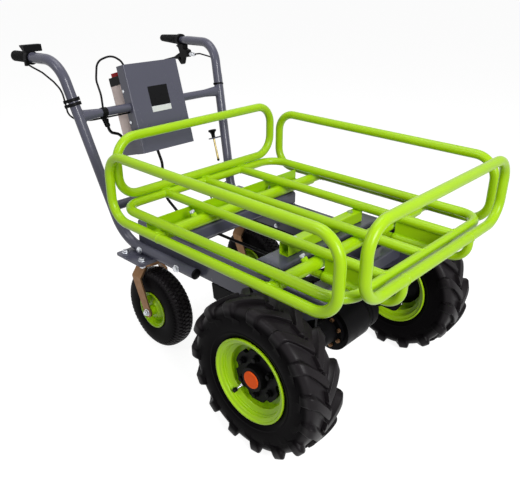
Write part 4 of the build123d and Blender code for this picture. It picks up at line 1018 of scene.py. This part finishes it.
tape_x = -191.0
dock_further = 4.0
throttle_lap_r = 2.6
throttle_wrap_r = 2.8
dock_wrap_r = 4.7
along_bar = (1, 0, 0)
bar_middle = point(tape_x, *upper_bar_at)
throttle_at = lead_centre("throttle_cable", bar_middle, along_bar)
dock_at = lead_centre("dock_cable", bar_middle + point(dock_further, 0, 0), along_bar)
shape = bmesh.new()
# Each turn of tape has its place along the bar, its width and its thickness.
for start, width, thick in ((-5.0, 8.0, 1.0), (0.0, 7.0, 1.6), (5.0, 8.0, 1.1)):
    shift = point(start, 0, 0)
    circles = [(bar_middle + shift, tube_r + slack), (throttle_at + shift, throttle_lap_r)]
    band(shape, circles, along_bar, width, thick)
circles = [(throttle_at, throttle_wrap_r), (dock_at, dock_wrap_r)]
band(shape, circles, along_bar, width_mm=12.0, thick_mm=1.0)
soften(shape, 0.3, segments=1)
add_piece("lead_tape", shape, cable_jacket, "chassis", crease=45.0)

# %% [markdown]
# Soft rubber is slipped over the ends of the handles. The fixed grip tapers to the
# back and the throttle grip turns on its own body, and both have fine ribs round them
# for the hand. A domed plug closes the front end of each handle tube.

# %% Ribbed grips and tube plugs
# A handle's end runs through this place, and moves out and down by these shares of its run back.
grip_ref = (300.5, 495.05, 826.2)
grip_slope = (0.075, -0.029)


def grip_point(side, y):
    run = y - grip_ref[1]
    return point(side * (grip_ref[0] + grip_slope[0] * run), y, grip_ref[2] + grip_slope[1] * run)


def ribbed(start, end, start_r, end_r, pitch, depth):
    # Points along a taper that rise and fall by a rib each pitch.
    profile = []
    for count in range(int((end - start) / pitch)):
        for part, drop in ((0.0, depth), (0.2, 0.0), (0.6, 0.0), (0.8, depth)):
            along = start + (count + part) * pitch
            share = (along - start) / (end - start)
            profile.append((along, start_r + (end_r - start_r) * share - drop))
    return profile


def grip_shape(side, front_y, tube_in, bore_r, skin):
    # A skin over a bore that takes this length of the tube.
    shape = bmesh.new()
    profile = [(0, bore_r)] + skin + [(tube_in, 0), (tube_in, bore_r)]
    turned(shape, profile, grip_point(side, front_y), (side * grip_slope[0], 1.0, grip_slope[1]), steps=40)
    return shape


left_collar = [(0, 17.4), (1, 18.2), (4, 18.4), (6, 17.4), (7, 16.4)]
left_end = [(99, 12.2), (104, 12.4), (107.5, 11.6), (109.5, 9), (109.7, 0)]
left_ribs = ribbed(8, 98, 16.8, 12.6, pitch=4.5, depth=0.9)
left_skin = left_collar + left_ribs + left_end
shape = grip_shape(sides["left"], front_y=573.55, tube_in=63.6, bore_r=11.2, skin=left_skin)
grip = add_piece("ribbed_grip_left", shape, grip_rubber, "chassis", crease=45.0)
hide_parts("grip_left")

right_collar = [(0, 17), (0.6, 17.5), (3, 17.5), (3.6, 16.6)]
right_end = [(67, 15.4), (72, 15.4), (74.6, 14), (75.8, 11), (75.9, 0)]
right_ribs = ribbed(5, 66, 15.6, 15.4, pitch=4.2, depth=0.9)
right_skin = right_collar + right_ribs + right_end
shape = grip_shape(sides["right"], front_y=517.35, tube_in=71.0, bore_r=11.15, skin=right_skin)
grip = add_piece("ribbed_throttle_grip", shape, grip_rubber, "throttle_twist", crease=45.0)
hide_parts("throttle_grip")

handle_front = -95.95
plug = [(-8, 0), (-8, 12.4), (0, 12.8), (0, 15.2), (2.4, 15.2), (4, 14), (5, 11), (5.4, 6), (5.5, 0)]
for side_name, side in sides.items():
    shape = bmesh.new()
    end = point(side * handle_foot[0], handle_front, handle_height)
    turned(shape, plug, end, (0, -1, 0), steps=40)
    add_piece(f"handle_plug_{side_name}", shape, black_plastic, "chassis")

# %% [markdown]
# The lock pin is a moulded knob pressed on a yellow plated rod, with a dark end. One
# turned shape each gives the three finishes, and together they replace the plain pin.

# %% Lock pin
pin_seat = point(213.0, 301.05, 530.0)
knob = bmesh.new()
turned(knob, [(0.4, 0), (0.4, 6.5), (6, 6.2), (13, 7), (18, 9.4), (20, 12.6), (22, 14), (25.5, 14),
              (27.4, 11.8), (28, 6), (28, 0)], pin_seat, lean)
knob_piece = add_piece("pin_knob", knob, black_plastic, "lock_pin")
rod = bmesh.new()
turned(rod, [(-74, 0), (-74, 3.9), (-50, 3.9), (-49, 3.5), (0.6, 3.5), (0.6, 0)], pin_seat, lean, steps=32)
add_piece("pin_rod", rod, brass_zinc, "lock_pin")
tip = bmesh.new()
turned(tip, [(-82, 0), (-82, 2.4), (-80.5, 4), (-75, 4.6), (-74, 4.4), (-74, 0)], pin_seat, lean, steps=32)
add_piece("pin_tip", tip, cast_metal, "lock_pin")
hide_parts("pull_pin")

# %% [markdown]
# The control box has a plain black plate and a plain white strip on its front, where
# a maker would put a rating plate. The throttle's pod has a smoked lens, and a plated
# sleeve screws on the brake lever's adjuster.

# %% Plates, lens and adjuster
box_middle = point(0.0, *upper_bar_at)
foil_out = 20.3
foil_thick = 0.8


def box_place(x, along, out):
    return box_middle + point(x, 0, 0) + (lean * along + facing * out) * mm


across_box = (1.0, 0.0, 0.0)
# Each plate has its place across and along the box, its width and its height.
plates = {"front_plate": (4.0, 20.0, 74.0, 60.0, black_foil, "black_plastic"),
          "front_strip": (4.0, -19.5, 74.0, 17.0, white_foil, "aluminium")}
for name, (x, along, wide, high, finish, slot) in plates.items():
    shape = bmesh.new()
    block(shape, box_place(x, along, foil_out), (across_box, lean, facing), (wide, high, foil_thick))
    soften(shape, 0.3, segments=1)
    add_piece(name, shape, finish, "chassis", crease=30.0)

lens_middle = point(-293.0, 520.05, 860.2)
lens_up = Vector((0.0, 2.0, 28.0)).normalized()
lens_size = (46, 19, 1.2)
shape = bmesh.new()
block(shape, lens_middle, (across_box, lens_up.cross(Vector(across_box)), lens_up), lens_size)
soften(shape, 0.5)
add_piece("pod_lens", shape, smoked_lens, "chassis", crease=30.0)

lever_back = Vector((0.075, 1.0, 0.0)).normalized()
lever_pivot = point(304.7, 551.05, 775.0)
adjuster_ahead = 60.0
adjuster_rise = 5.0
adjuster_end = lever_pivot - lever_back * adjuster_ahead * mm + point(0, 0, adjuster_rise)
adjuster = [(20, 5.1), (20, 6.3), (18, 6.8), (9, 6.8), (8, 6), (3, 6), (2, 6.6), (-2, 6.6), (-3, 5.2),
            (-9, 4.4), (-10, 3.4), (-10, 2.6), (-0.2, 2.6), (-0.2, 5.1)]
shape = bmesh.new()
turned(shape, adjuster, adjuster_end, lever_back, steps=36)
add_piece("brake_adjuster", shape, zinc, "chassis")
